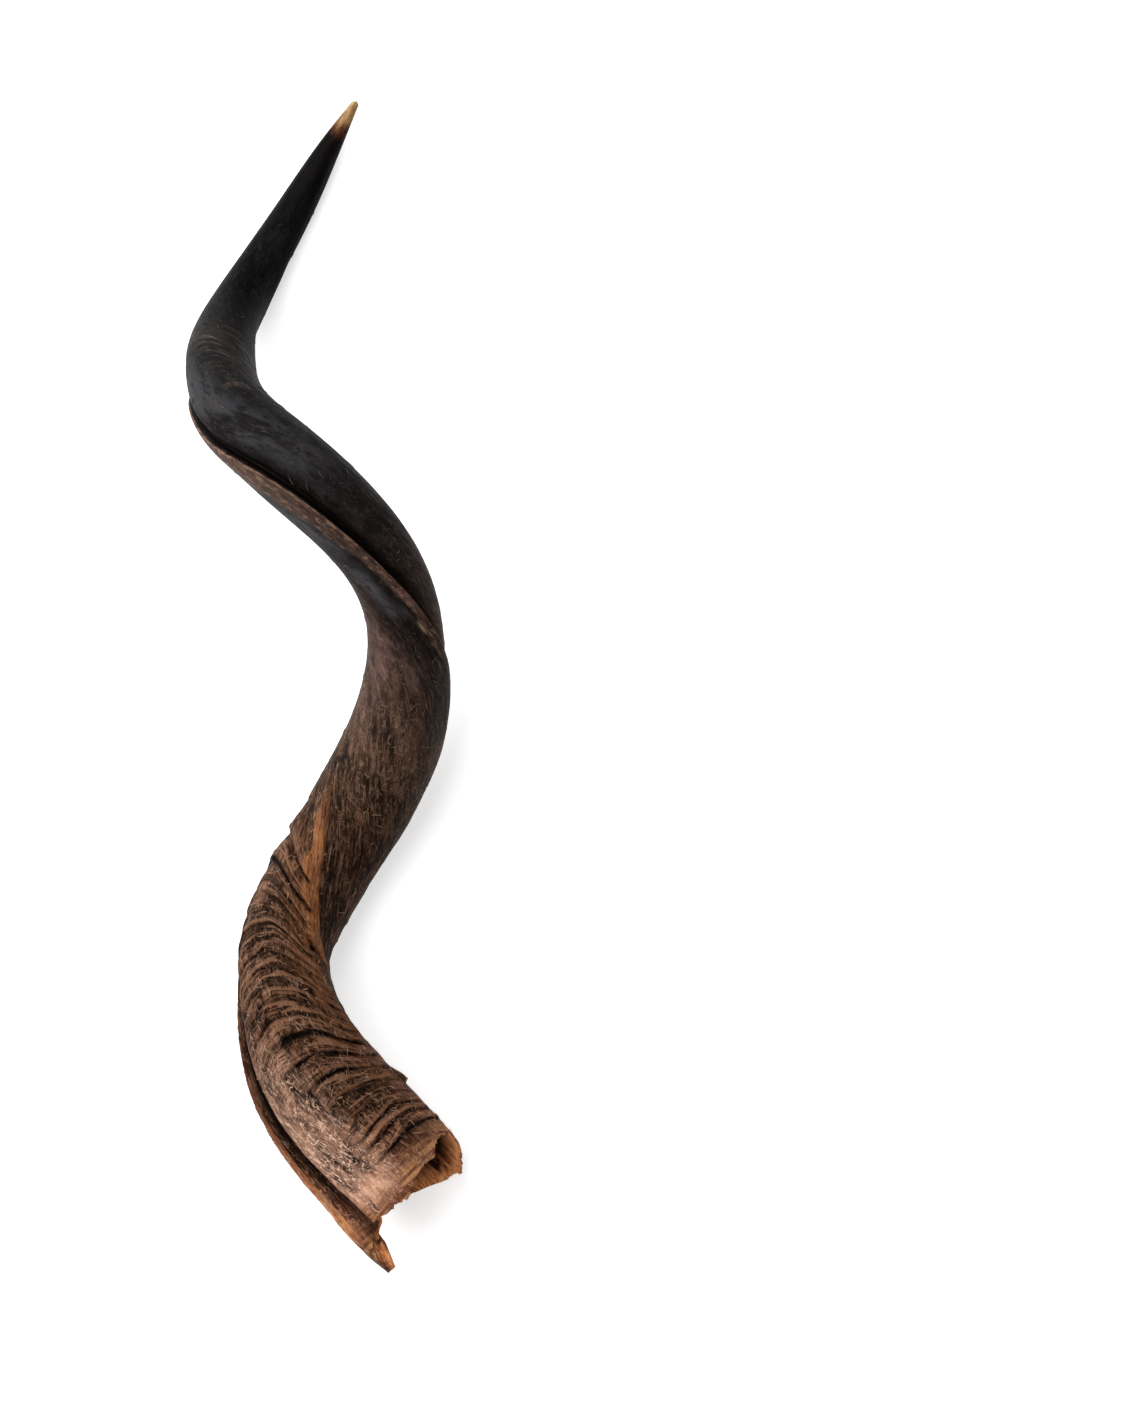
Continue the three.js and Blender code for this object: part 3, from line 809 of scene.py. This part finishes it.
# Shares that follow a field. Each has the field, the values of it where the share is least and most,
# and that least and most where they aren't 0 and 1.
SHARES = {
    "mottled": ("patch", 0.34, 0.50, 0.65),
    # Patches of the painted sheen
    "waxy": ("patch", 0.36, 0.56, 0.35, 0.85),
    "calm": ("pale_side", 0, 1, 1.0, 0.35),
    "stained": ("patch", 0.48, 0.36, 0.0, 0.7),
    "faded": ("patch", 0.54, 0.68, 0.0, 0.5),
    "spotted": ("blotch", 0.47, 0.37, 0.0, 0.6),
    "unringed": ("ringed", 0, 1, 0.70, 0.30),
    "furrowed": ("grain", 0.49, 0.40),
    "bleached": ("grain", 0.52, 0.61, 0.0, 0.7),
    # Painted shade in the hollows between the rolls and a painted highlight on their crests, each in patches
    "hollow": ("crest", 0.55, 0.10),
    "hollow_dirt": ("patch", 0.62, 0.40, 0.45, 0.95),
    "roll_top": ("crest", 0.60, 0.95),
    "roll_wear": ("strand", 0.42, 0.60, 0.0, 0.75),
    "lines_left": ("pale_side", 0, 1, 1.0, 0.3),
    "lines_patchy": ("patch", 0.34, 0.46, 0.5),
    "line_cut": ("line_offset", 0.035, 0.012),
    "line_wear": ("lines", 0.53, 0.61, 0.0, 0.7),
    "score": ("long_line_offset", 0.040, 0.012, 0.0, 0.7),
    "score_gaps": ("blotch", 0.40, 0.54, 0.1),
    "band_gaps": ("blotch", 0.36, 0.50, 0.35),
    "bend_line": ("long_line_offset", 0.020, 0.006, 0.0, 0.6),
    "bend_gaps": ("blotch", 0.40, 0.56, 0.2),
    "end_glow": ("strand", 0.36, 0.60, 0.0, 0.7),
    "amber_light": ("grain", 0.38, 0.62),
    "ridge_bare": ("grain", 0.28, 0.44),
    "keel_shaded": ("fibre", 0.50, 0.38, 0.0, 0.65),
    "keel_flakes": ("flake", 0.50, 0.60, 0.0, 0.7),
    "keel_split": ("fibre", 0.42, 0.56),
    "keel_torn": ("keel_ragged", 1.02, 1.24),
    "lip_lit": ("flake", 0.38, 0.58, 0.0, 0.8),
    "hair_line": ("hair_offset", 0.028, 0.010),
    "hair_tufts": ("crowded", 0.49, 0.58, 0.0, 0.85),
    "sliver_line": ("sliver_offset", 0.11, 0.03),
    "sliver_tufts": ("tuft", 0.47, 0.60, 0.0, 0.7),
    "hairs_left": ("dim", 0, 1, 1.0, 0.15),
    "toward_tip": ("along", 0.42, 0.60),
    "outside": ("inside", 0, 1, 1.0, 0.0),
    "near_rim": ("from_rim", 26.0, 4.0),
    "rim_wear": ("patch", 0.38, 0.56, 0.0, 0.8),
    "rim_light": ("lines", 0.40, 0.60),
    # Painted shade in the crevices between plates, broken up in places
    "dirt": ("crevice", 0.10, 0.70),
    "dirt_stains": ("stain", 0.38, 0.54),
    "dirt_strands": ("strand", 0.34, 0.52, 0.4),
    "crevice_shade_deepest": ("crevice", 0.80, 1.0),
    "cavity_streaks": ("grain", 0.42, 0.60),
    "mouth": ("from_rim", 18.0, 3.0),
    "mouth_fibres": ("fibre", 0.40, 0.60),
    "mouth_stains": ("patch", 0.46, 0.38),
}

# Colours made in layers. Each has its lowest tone, then the layers from the lowest up: a tone, and
# the shares that are multiplied together for how strongly it shows.
LAYERS = {
    "amber": (AMBER_SHADE, (AMBER, "amber_light")),
    "keel_tone": ("keel_body", (KEEL_SHADE, "keel_shaded"), (KEEL_FLAKE, "keel_flakes", "keel_split")),
    "far_hair": ("pale", (HAIR_FAR, 0.5)),
    "hair": ("pale", (HAIR, 0.35), (HAIR_LEFT_OF_BASE, "pale_side"), ("far_hair", "toward_tip")),
    "rim": (RIM_SHADE, (RIM_AMBER, "rim_light")),
    # Amber of the mouth wall, painted bright as light shining through
    "mouth_wall": (INNER_AMBER_SHADE, (INNER_AMBER, "mouth_fibres"), (INNER_STAIN, "mouth_stains")),
    "cavity": (CAVITY_DARK, (CAVITY_BROWN, "cavity_streaks"), ("mouth_wall", "mouth")),
    "keratin": (
        "body",
        # Sides: paler left of the base, darker with painted shade away from the light and under the keel's
        # end, and greyer where a sheen is painted
        (LEFT_OF_BASE, "pale_side", "mottled"),
        ("dark", "dim"),
        (PAINTED_SHEEN, "sheen", "waxy"),
        # Patches, blotches, strands and fibres
        ("dark", "stained", "calm"),
        ("pale", "faded"),
        ("dark", "spotted", "calm"),
        ("dark", "furrowed", "unringed", "streaky", "calm"),
        ("pale", "bleached", "streaky"),
        # Growth rings: painted shade in the hollows between the rolls and a painted highlight on some of
        # their crests
        ("dark", "hollow", "ringed", "hollow_dirt"),
        ("pale", "roll_top", "ringed", "roll_wear"),
        # Growth lines, longer lines past the rings with one dark band, and fine ones on the far bend
        ("pale", "line_wear", "line_zone"),
        ("dark", "scored"),
        (BEND_LINES, "bend_line", "bend", "bend_gaps"),
        ("dark", "cut", 0.9),
        # Clear keratin at the plates' right ends and on the worn second ridge
        (PLATE_END_GLOW, "right", "ringed", "end_glow"),
        ("amber", "ridge", "ridge_bare"),
        # Keel: its flaked edge, a painted highlight on its lip, and its chip
        ("keel_tone", "flaked", "keel_torn"),
        (LIP_HIGHLIGHT, "lip_edge", "lip_lit"),
        (CHIP_TONE, "chip"),
        # Bleached hairs and slivers of frayed outer layers
        ("hair", "stroke"),
        # Thin broken rim, paler and clearer, with fine crosswise lines
        ("rim", "near_rim", "outside", "rim_wear"),
        # Painted shade in the crevices between plates, in the groove by the keel and under its lip, and in
        # the crack
        (CREVICE_SHADE, "dirt", "dirt_broken"),
        (GROOVE_SHADE, "groove"),
        # Painted shade in the crack
        (CRACK_SHADE, "crack"),
        # Inside of the sheath, dark brown, and clear amber where the wall thins toward the rim, painted
        # bright there as light shining through
        ("cavity", "inside"),
    ),
}

# Kinds of node, what Map Range and Mix hold in each socket, and the facts stored on the mesh
MATH = "ShaderNodeMath"
VECTOR = "ShaderNodeVectorMath"
MIX = "ShaderNodeMix"
RAMP = "ShaderNodeValToRGB"
RANGE = "ShaderNodeMapRange"
NOISE = "ShaderNodeTexNoise"
VALUE, LOW, HIGH, LEAST, MOST = range(5)
FACTOR, FIRST, SECOND, UNDER, OVER = 0, 2, 3, 6, 7
FACTS = (
    "ring", "ringed", "crest", "crevice", "crack", "ridge", "keel", "lip_edge", "chip", "groove", "right",
    "pale_side", "bend", "lined", "sheen", "dark_band", "toned_from", "dim", "from_rim", "inside",
)


def strength(add, field, shares):
    """How strongly a layer shows: its shares multiplied together."""
    total, *others = [field.get(share, share) for share in shares]
    for other in others:
        total = add(MATH, {0: total, 1: other}, operation="MULTIPLY")
    return total


def layered(add, field, lowest, layers):
    """A colour made of a lowest tone with others laid over it."""
    colour = field.get(lowest, lowest)
    for tone, *shares in layers:
        settings = {FACTOR: strength(add, field, shares), UNDER: colour, OVER: field.get(tone, tone)}
        colour = add(MIX, settings, 2, data_type="RGBA")
    return colour


def crosswise(add, field, per_metre, breaks, detail):
    """Noise in lines that run round the horn with its growth rings: lines and their breaks to a metre."""
    line = add(MATH, {0: field["ring"], 1: per_metre}, operation="MULTIPLY")
    line = add("ShaderNodeCombineXYZ", {2: line})
    line = add(VECTOR, {0: field["bent"], 1: (breaks, breaks, 0.0), 2: line}, operation="MULTIPLY_ADD")
    return add(NOISE, {"Vector": line, "Scale": 1.0, "Detail": detail})


def offset_from(add, noise, middle):
    """How far a noise is from its middle value, which is near 0 along thin wandering lines."""
    offset = add(MATH, {0: noise, 1: middle}, operation="SUBTRACT")
    return add(MATH, {0: offset}, operation="ABSOLUTE")


def horn_fields(add):
    """The facts of each place on the horn, its place along it, and the noises."""
    field = {name: add("ShaderNodeAttribute", out="Fac", attribute_name=name) for name in FACTS}
    straight = add("ShaderNodeAttribute", out="Vector", attribute_name="straight")
    field["along"] = add("ShaderNodeSeparateXYZ", {0: straight}, out=2)
    field["share"] = add(MATH, {0: field["along"], 1: CENTRE.length * MM}, operation="DIVIDE")
    for name, (across, lengthways, detail, shift) in NOISES.items():
        scale = (1000 / across, 1000 / across, 1000 / lengthways)
        placed = add("ShaderNodeMapping", {"Vector": straight, "Scale": scale, "Location": (shift,) * 3})
        field[name] = add(NOISE, {"Vector": placed, "Scale": 1.0, "Detail": detail, "Roughness": 0.6})
    field["grain"] = add(MIX, {FACTOR: 0.5, FIRST: field["strand"], SECOND: field["fibre"]})
    warp = add(NOISE, {"Vector": straight, "Scale": BENDS, "Detail": 2.0}, out="Color")
    field["bent"] = add(VECTOR, {0: warp, 1: (BEND_REACH,) * 3, 2: straight}, operation="MULTIPLY_ADD")
    return field


def tone_fields(add, field):
    """Adds the tones along the horn, with ragged limits so that no two meet in a straight line."""
    for name, stops in SHOWN_BY_PLACE.items():
        field[name] = add(RAMP, {0: field["share"]}, stops=stops)
    wander_by = add(MIX, {FACTOR: 0.4, FIRST: field["strand"], SECOND: field["patch"]})
    wander_by = add(MATH, {0: wander_by, 1: 0.5}, operation="SUBTRACT")
    wander_by = add(MATH, {0: wander_by, 1: field["ragged"]}, operation="MULTIPLY")
    settings = {0: field["toned_from"], 1: 1 / (CENTRE.length * MM), 2: field["share"]}
    toned_at = add(MATH, settings, operation="MULTIPLY_ADD")
    toned_at = add(MATH, {0: wander_by, 1: RAGGED_REACH, 2: toned_at}, operation="MULTIPLY_ADD")
    for name, stops in TONES_BY_PLACE.items():
        field[name] = add(RAMP, {0: toned_at}, stops=stops)


def mark_fields(add, field):
    """Adds the growth lines, the longer lines, the hairs, the slivers and the keel's ragged edge."""
    field["lines"] = crosswise(add, field, GROWTH_LINES, GROWTH_LINE_BREAKS, 1.2)
    field["line_offset"] = offset_from(add, field["lines"], 0.49)
    long_lines = crosswise(add, field, LONG_LINES, LONG_LINE_BREAKS, 1.0)
    field["long_line_offset"] = offset_from(add, long_lines, 0.5)
    hair = add("ShaderNodeMapping", {"Vector": field["bent"], "Scale": HAIRS})
    field["hair_offset"] = offset_from(add, add(NOISE, {"Vector": hair, "Scale": 1.0, "Detail": 1.0}), 0.5)
    settings = {0: field["pale_side"], 1: MORE_HAIRS_ON_LEFT, 2: field["flake"]}
    field["crowded"] = add(MATH, settings, operation="MULTIPLY_ADD")
    sliver = add("ShaderNodeMapping", {"Vector": field["bent"], "Scale": SLIVERS})
    settings = {"Vector": sliver, "Scale": 1.0}
    field["sliver_offset"] = add("ShaderNodeTexVoronoi", settings, feature="DISTANCE_TO_EDGE")
    field["flaked"] = strength(add, field, ("keel", "keel_shows"))
    torn = add(MIX, {FACTOR: 0.5, FIRST: field["strand"], SECOND: field["flake"]})
    field["keel_ragged"] = add(MATH, {0: torn, 1: field["flaked"]}, operation="ADD")


def share_fields(add, field):
    """Adds the shares that follow a field, and those that are made of others."""
    for name, (source, *limits) in SHARES.items():
        settings = dict(zip((LOW, HIGH, LEAST, MOST), limits))
        field[name] = add(RANGE, {VALUE: field[source], **settings})
    field["line_zone"] = strength(add, field, ("lines_patchy", "ringed", "lines_left"))
    field["cut"] = strength(add, field, ("line_cut", "line_zone"))
    scores = strength(add, field, ("score", "lined", "score_gaps"))
    band = strength(add, field, ("dark_band", "band_gaps"))
    field["scored"] = add(MATH, {0: scores, 1: band}, operation="MAXIMUM")
    hairs = strength(add, field, ("hair_line", "hair_tufts"))
    slivers = strength(add, field, ("sliver_line", "sliver_tufts"))
    field["frayed"] = add(MATH, {0: hairs, 1: slivers}, operation="MAXIMUM")
    field["stroke"] = strength(add, field, ("frayed", "strokes_show", "hairs_left"))
    # Painted shade in the crevices, broken up in places, fullest where they are deepest
    broken = strength(add, field, ("dirt_stains", "dirt_strands"))
    field["dirt_broken"] = add(MATH, {0: broken, 1: field["crevice_shade_deepest"]}, operation="MAXIMUM")


def relief(add, field):
    """The fine relief, as bumped normals: fibres, strands, frayed strokes, growth lines and crests."""
    height = 0.0
    for name, depth in RELIEF.items():
        height = add(MATH, {0: field[name], 1: depth, 2: height}, operation="MULTIPLY_ADD")
    return add("ShaderNodeBump", {"Height": height, "Strength": field["relief_shows"], "Distance": 1.0})


def new_material(name):
    """A material with an empty node tree, and the call that adds a node to it."""
    material = bpy.data.materials.new(name)
    material.use_nodes = True
    material.node_tree.nodes.clear()
    return material, functools.partial(add_node, material.node_tree)


def keratin():
    """Horn keratin, grown in layers and weathered bare: brown and fibrous at the base, black toward
    the tip, clear amber where it is thin, with no gloss; sheen and shade are painted into its colour."""
    material, add = new_material("weathered_horn_keratin")
    field = horn_fields(add)
    tone_fields(add, field)
    mark_fields(add, field)
    share_fields(add, field)
    for name, (lowest, *layers) in LAYERS.items():
        field[name] = layered(add, field, lowest, layers)
    uneven = add(MATH, {0: field["grain"], 1: 0.5}, operation="SUBTRACT")
    settings = {0: uneven, 1: UNEVEN_ROUGHNESS, 2: field["roughness"]}
    roughness = add(MATH, settings, operation="MULTIPLY_ADD", use_clamp=True)
    shader = add("ShaderNodeBsdfPrincipled", {
        "Base Color": field["keratin"],
        "Roughness": roughness,
        "IOR": 1.54,
        "Specular IOR Level": 0.02,
        "Normal": relief(add, field),
    })
    add("ShaderNodeOutputMaterial", {"Surface": shader})
    return material


def fibre_keratin():
    """Frayed horn fibres: thin dry slivers of the same keratin, bleached pale, with no gloss. Their
    tone varies in patches of about 6 mm."""
    material, add = new_material("frayed_horn_fibre")
    straight = add("ShaderNodeAttribute", out="Vector", attribute_name="straight")
    along = add("ShaderNodeSeparateXYZ", {0: straight}, out=2)
    share = add(MATH, {0: along, 1: CENTRE.length * MM}, operation="DIVIDE")
    tone = add(RAMP, {0: share}, stops=FIBRE_TONES)
    varied = add(NOISE, {"Vector": straight, "Scale": FIBRE_PATCHES, "Detail": 1.0})
    varied = add(RANGE, {VALUE: varied, LOW: 0.62, HIGH: 0.38, MOST: 0.75})
    shader = add("ShaderNodeBsdfPrincipled", {
        "Base Color": layered(add, {}, tone, ((FIBRE_SHADE, varied),)),
        "Roughness": 0.7,
        "IOR": 1.54,
        "Specular IOR Level": 0.2,
    })
    add("ShaderNodeOutputMaterial", {"Surface": shader})
    return material


def new_geometry_tree(name, inputs):
    """A geometry node tree with a geometry in and out and named number inputs."""
    tree = bpy.data.node_groups.new(name, "GeometryNodeTree")
    tree.interface.new_socket("Geometry", in_out="INPUT", socket_type="NodeSocketGeometry")
    tree.interface.new_socket("Geometry", in_out="OUTPUT", socket_type="NodeSocketGeometry")
    for label, default in inputs.items():
        kind = "NodeSocketInt" if isinstance(default, int) else "NodeSocketFloat"
        tree.interface.new_socket(label, in_out="INPUT", socket_type=kind).default_value = default
    return tree


def grown(piece, tree, name, values):
    """The piece's geometry after a node tree with these inputs, as a new plain mesh object."""
    modifier = piece.modifiers.new(tree.name, "NODES")
    modifier.node_group = tree
    for item in tree.interface.items_tree:
        if item.in_out == "INPUT" and item.name in values:
            modifier[item.identifier] = values[item.name]
    evaluated = piece.evaluated_get(bpy.context.evaluated_depsgraph_get())
    mesh = bpy.data.meshes.new_from_object(evaluated)
    piece.modifiers.remove(modifier)
    mesh.name = name
    made = bpy.data.objects.new(name, mesh)
    bpy.context.scene.collection.objects.link(made)
    return made


def lump_tree(material):
    """Moves the surface in and out in small lumps, and keeps it above the floor."""
    tree = new_geometry_tree("weathered_lumps", {"Depth": LUMP_DEPTH, "Lumps per metre": LUMPS_PER_METRE})
    add = functools.partial(add_node, tree)
    given = tree.nodes.new("NodeGroupInput").outputs
    straight = add("GeometryNodeInputNamedAttribute", {0: "straight"}, data_type="FLOAT_VECTOR")
    stretched = add(VECTOR, {0: straight, 1: LUMP_SHAPE}, operation="MULTIPLY")
    noise = add(NOISE, {"Vector": stretched, "Scale": given["Lumps per metre"], "Detail": 2.0})
    height = add(MATH, {0: noise, 1: 0.5}, operation="SUBTRACT")
    share = add("GeometryNodeInputNamedAttribute", {0: "lumps"}, data_type="FLOAT")
    depth = add(MATH, {0: share, 1: given["Depth"]}, operation="MULTIPLY")
    height = add(MATH, {0: height, 1: depth}, operation="MULTIPLY")
    height = add(MATH, {0: height, 1: LUMP_GAIN}, operation="MULTIPLY")
    offset = add(VECTOR, {0: add("GeometryNodeInputNormal"), "Scale": height}, operation="SCALE")
    moved = add("GeometryNodeSetPosition", {"Geometry": given["Geometry"], "Offset": offset})
    above = add(VECTOR, {0: add("GeometryNodeInputPosition"), 1: FLOOR_LEVEL}, operation="MAXIMUM")
    laid = add("GeometryNodeSetPosition", {"Geometry": moved, "Position": above})
    real = add("GeometryNodeRealizeInstances", {"Geometry": laid})
    dressed = add("GeometryNodeSetMaterial", {"Geometry": real, "Material": material})
    add("NodeGroupOutput", {"Geometry": dressed})
    return tree


def fibre_points(add, given):
    """Points scattered where the horn is frayed, in patches and clear of the floor: their node."""
    fray = add("GeometryNodeInputNamedAttribute", {0: "fray"}, data_type="FLOAT")
    straight = add("GeometryNodeInputNamedAttribute", {0: "straight"}, data_type="FLOAT_VECTOR")
    patches = add(NOISE, {"Vector": straight, "Scale": TUFTS_PER_METRE, "Detail": 2.0})
    patches = add(RANGE, {VALUE: patches, LOW: 0.42, HIGH: 0.60, LEAST: 0.12})
    density = add(MATH, {0: fray, 1: patches}, operation="MULTIPLY")
    height = add("ShaderNodeSeparateXYZ", {0: add("GeometryNodeInputPosition")}, out=2)
    off_floor = add(MATH, {0: height, 1: FIBRES_CLEAR_FLOOR}, operation="GREATER_THAN")
    density = add(MATH, {0: density, 1: off_floor}, operation="MULTIPLY")
    density = add(MATH, {0: density, 1: given["Per square metre"]}, operation="MULTIPLY")
    settings = {"Mesh": given["Geometry"], "Density": density, "Seed": given["Seed"]}
    return add("GeometryNodeDistributePointsOnFaces", settings).node.outputs


def fibre_sliver(add, given):
    """One sliver along x: a bent three-sided rod that thins to both ends."""
    half = add(MATH, {0: given["Length"], 1: 0.5}, operation="MULTIPLY")
    back = add(MATH, {0: half, 1: -1.0}, operation="MULTIPLY")
    sag = add(MATH, {0: half, 1: SLIVER_SAG}, operation="MULTIPLY")
    lift = add(MATH, {0: half, 1: SLIVER_LIFT}, operation="MULTIPLY")
    curve = add("GeometryNodeCurveQuadraticBezier", {
        "Resolution": 4,
        "Start": add("ShaderNodeCombineXYZ", {0: back}),
        "Middle": add("ShaderNodeCombineXYZ", {1: sag, 2: lift}),
        "End": add("ShaderNodeCombineXYZ", {0: half}),
    })
    part = add("GeometryNodeSplineParameter")
    from_middle = add(MATH, {0: part, 1: 2.0, 2: -1.0}, operation="MULTIPLY_ADD")
    from_middle = add(MATH, {0: from_middle}, operation="ABSOLUTE")
    ends = add(MATH, {0: from_middle, 1: 3.0}, operation="POWER")
    taper = add(MATH, {0: ends, 1: -SLIVER_TAPER, 2: 1.0}, operation="MULTIPLY_ADD")
    thick = add(MATH, {0: taper, 1: given["Width"]}, operation="MULTIPLY")
    profile = add("GeometryNodeCurvePrimitiveCircle", {"Resolution": 3, "Radius": 0.5})
    settings = {"Curve": curve, "Profile Curve": profile, "Scale": thick, "Fill Caps": True}
    return add("GeometryNodeCurveToMesh", settings)


def fibre_turn(add, given, flat_on_surface):
    """Turns a sliver along the horn, then by a random angle to either side and a little up or down."""
    lengthways = add("GeometryNodeInputNamedAttribute", {0: "lengthways"}, data_type="FLOAT_VECTOR")
    settings = {"Rotation": flat_on_surface, "Vector": lengthways}
    along = add("FunctionNodeAlignRotationToVector", settings, axis="X", pivot_axis="Z")
    least = add(MATH, {0: given["Spread"], 1: -1.0}, operation="MULTIPLY")
    turn = add("FunctionNodeRandomValue", {2: least, 3: given["Spread"], "Seed": 1}, 1, data_type="FLOAT")
    more = add("FunctionNodeRandomValue", {2: least, 3: given["Spread"], "Seed": 2}, 1, data_type="FLOAT")
    turn = add(MATH, {0: turn, 1: more}, operation="ADD")
    tilt = add("FunctionNodeRandomValue", {2: -SLIVER_TILT, 3: SLIVER_TILT, "Seed": 3}, 1, data_type="FLOAT")
    local = add("FunctionNodeEulerToRotation", {0: add("ShaderNodeCombineXYZ", {1: tilt, 2: turn})})
    settings = {"Rotation": along, "Rotate By": local}
    return add("FunctionNodeRotateRotation", settings, rotation_space="LOCAL")


def fibre_tree(material):
    """Scatters short bent slivers that lie on the surface, most of them lengthways."""
    tree = new_geometry_tree("frayed_fibres", FIBRE_INPUTS)
    add = functools.partial(add_node, tree)
    given = tree.nodes.new("NodeGroupInput").outputs
    points = fibre_points(add, given)
    size = add("FunctionNodeRandomValue", {2: 0.4, 3: 1.3, "Seed": 4}, 1, data_type="FLOAT")
    width = add("FunctionNodeRandomValue", {2: 0.7, 3: 1.2, "Seed": 5}, 1, data_type="FLOAT")
    placed = add("GeometryNodeInstanceOnPoints", {
        "Points": points["Points"],
        "Instance": fibre_sliver(add, given),
        "Rotation": fibre_turn(add, given, points["Rotation"]),
        "Scale": add("ShaderNodeCombineXYZ", {0: size, 1: width, 2: SLIVER_FLATTENED}),
    })
    real = add("GeometryNodeRealizeInstances", {"Geometry": placed})
    dressed = add("GeometryNodeSetMaterial", {"Geometry": real, "Material": material})
    add("NodeGroupOutput", {"Geometry": dressed})
    return tree


shell = build_sheath()
lumps = {"Depth": LUMP_DEPTH, "Lumps per metre": LUMPS_PER_METRE}
sheath = grown(shell, lump_tree(keratin()), "keratin_sheath", lumps)
fibres = grown(sheath, fibre_tree(fibre_keratin()), "frayed_fibres", FIBRE_INPUTS)
bpy.data.objects.remove(shell)
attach(sheath, "root")
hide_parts("horn")
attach(fibres, "root")
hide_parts("horn")


# Stage: a white floor, even light from all round and one large soft light from the upper left
def plain_floor():
    """A wide white floor of matte painted board, which glows a little so that it stays white."""
    half = 6.0
    mesh = bpy.data.meshes.new("floor")
    corners = [(-half, -half, 0), (half, -half, 0), (half, half, 0), (-half, half, 0)]
    mesh.from_pydata(corners, [], [(0, 1, 2, 3)])
    floor = bpy.data.objects.new("floor", mesh)
    bpy.context.scene.collection.objects.link(floor)
    material = bpy.data.materials.new("white_matte_floor")
    material.use_nodes = True
    shader = material.node_tree.nodes["Principled BSDF"]
    shader.inputs["Base Color"].default_value = linear("#F4F4F4")
    shader.inputs["Roughness"].default_value = 0.9
    shader.inputs["Specular IOR Level"].default_value = 0.1
    shader.inputs["Emission Color"].default_value = (1, 1, 1, 1)
    shader.inputs["Emission Strength"].default_value = 0.58
    mesh.materials.append(material)


def soft_light(name, place, size, power):
    """A square soft light aimed at the middle of the horn."""
    light = bpy.data.lights.new(name, "AREA")
    light.size = size
    light.energy = power
    lamp = bpy.data.objects.new(name, light)
    lamp.location = place
    lamp.rotation_euler = (Vector((0, 0, 0.05)) - Vector(place)).to_track_quat("-Z", "Y").to_euler()
    lamp.visible_camera = False
    bpy.context.scene.collection.objects.link(lamp)


plain_floor()
soft_light("key", place=(-1.7, 0.7, 2.3), size=3.8, power=175)
world = bpy.data.worlds.new("studio")
world.use_nodes = True
world.node_tree.nodes["Background"].inputs["Color"].default_value = (1, 1, 1, 1)
world.node_tree.nodes["Background"].inputs["Strength"].default_value = 0.26
bpy.context.scene.world = world
bpy.context.scene.view_settings.view_transform = "Standard"

# Camera: straight above, from far off, framed as the photograph is
CAMERA_HEIGHT = 20.0
VIEW_CENTRE = (0.1613, -0.0076)
camera = bpy.data.objects.new("camera", bpy.data.cameras.new("camera"))
camera.data.sensor_width = 36
camera.data.lens = 751
camera.data.clip_end = 100
camera.location = (*VIEW_CENTRE, CAMERA_HEIGHT)
bpy.context.scene.collection.objects.link(camera)
bpy.context.scene.camera = camera
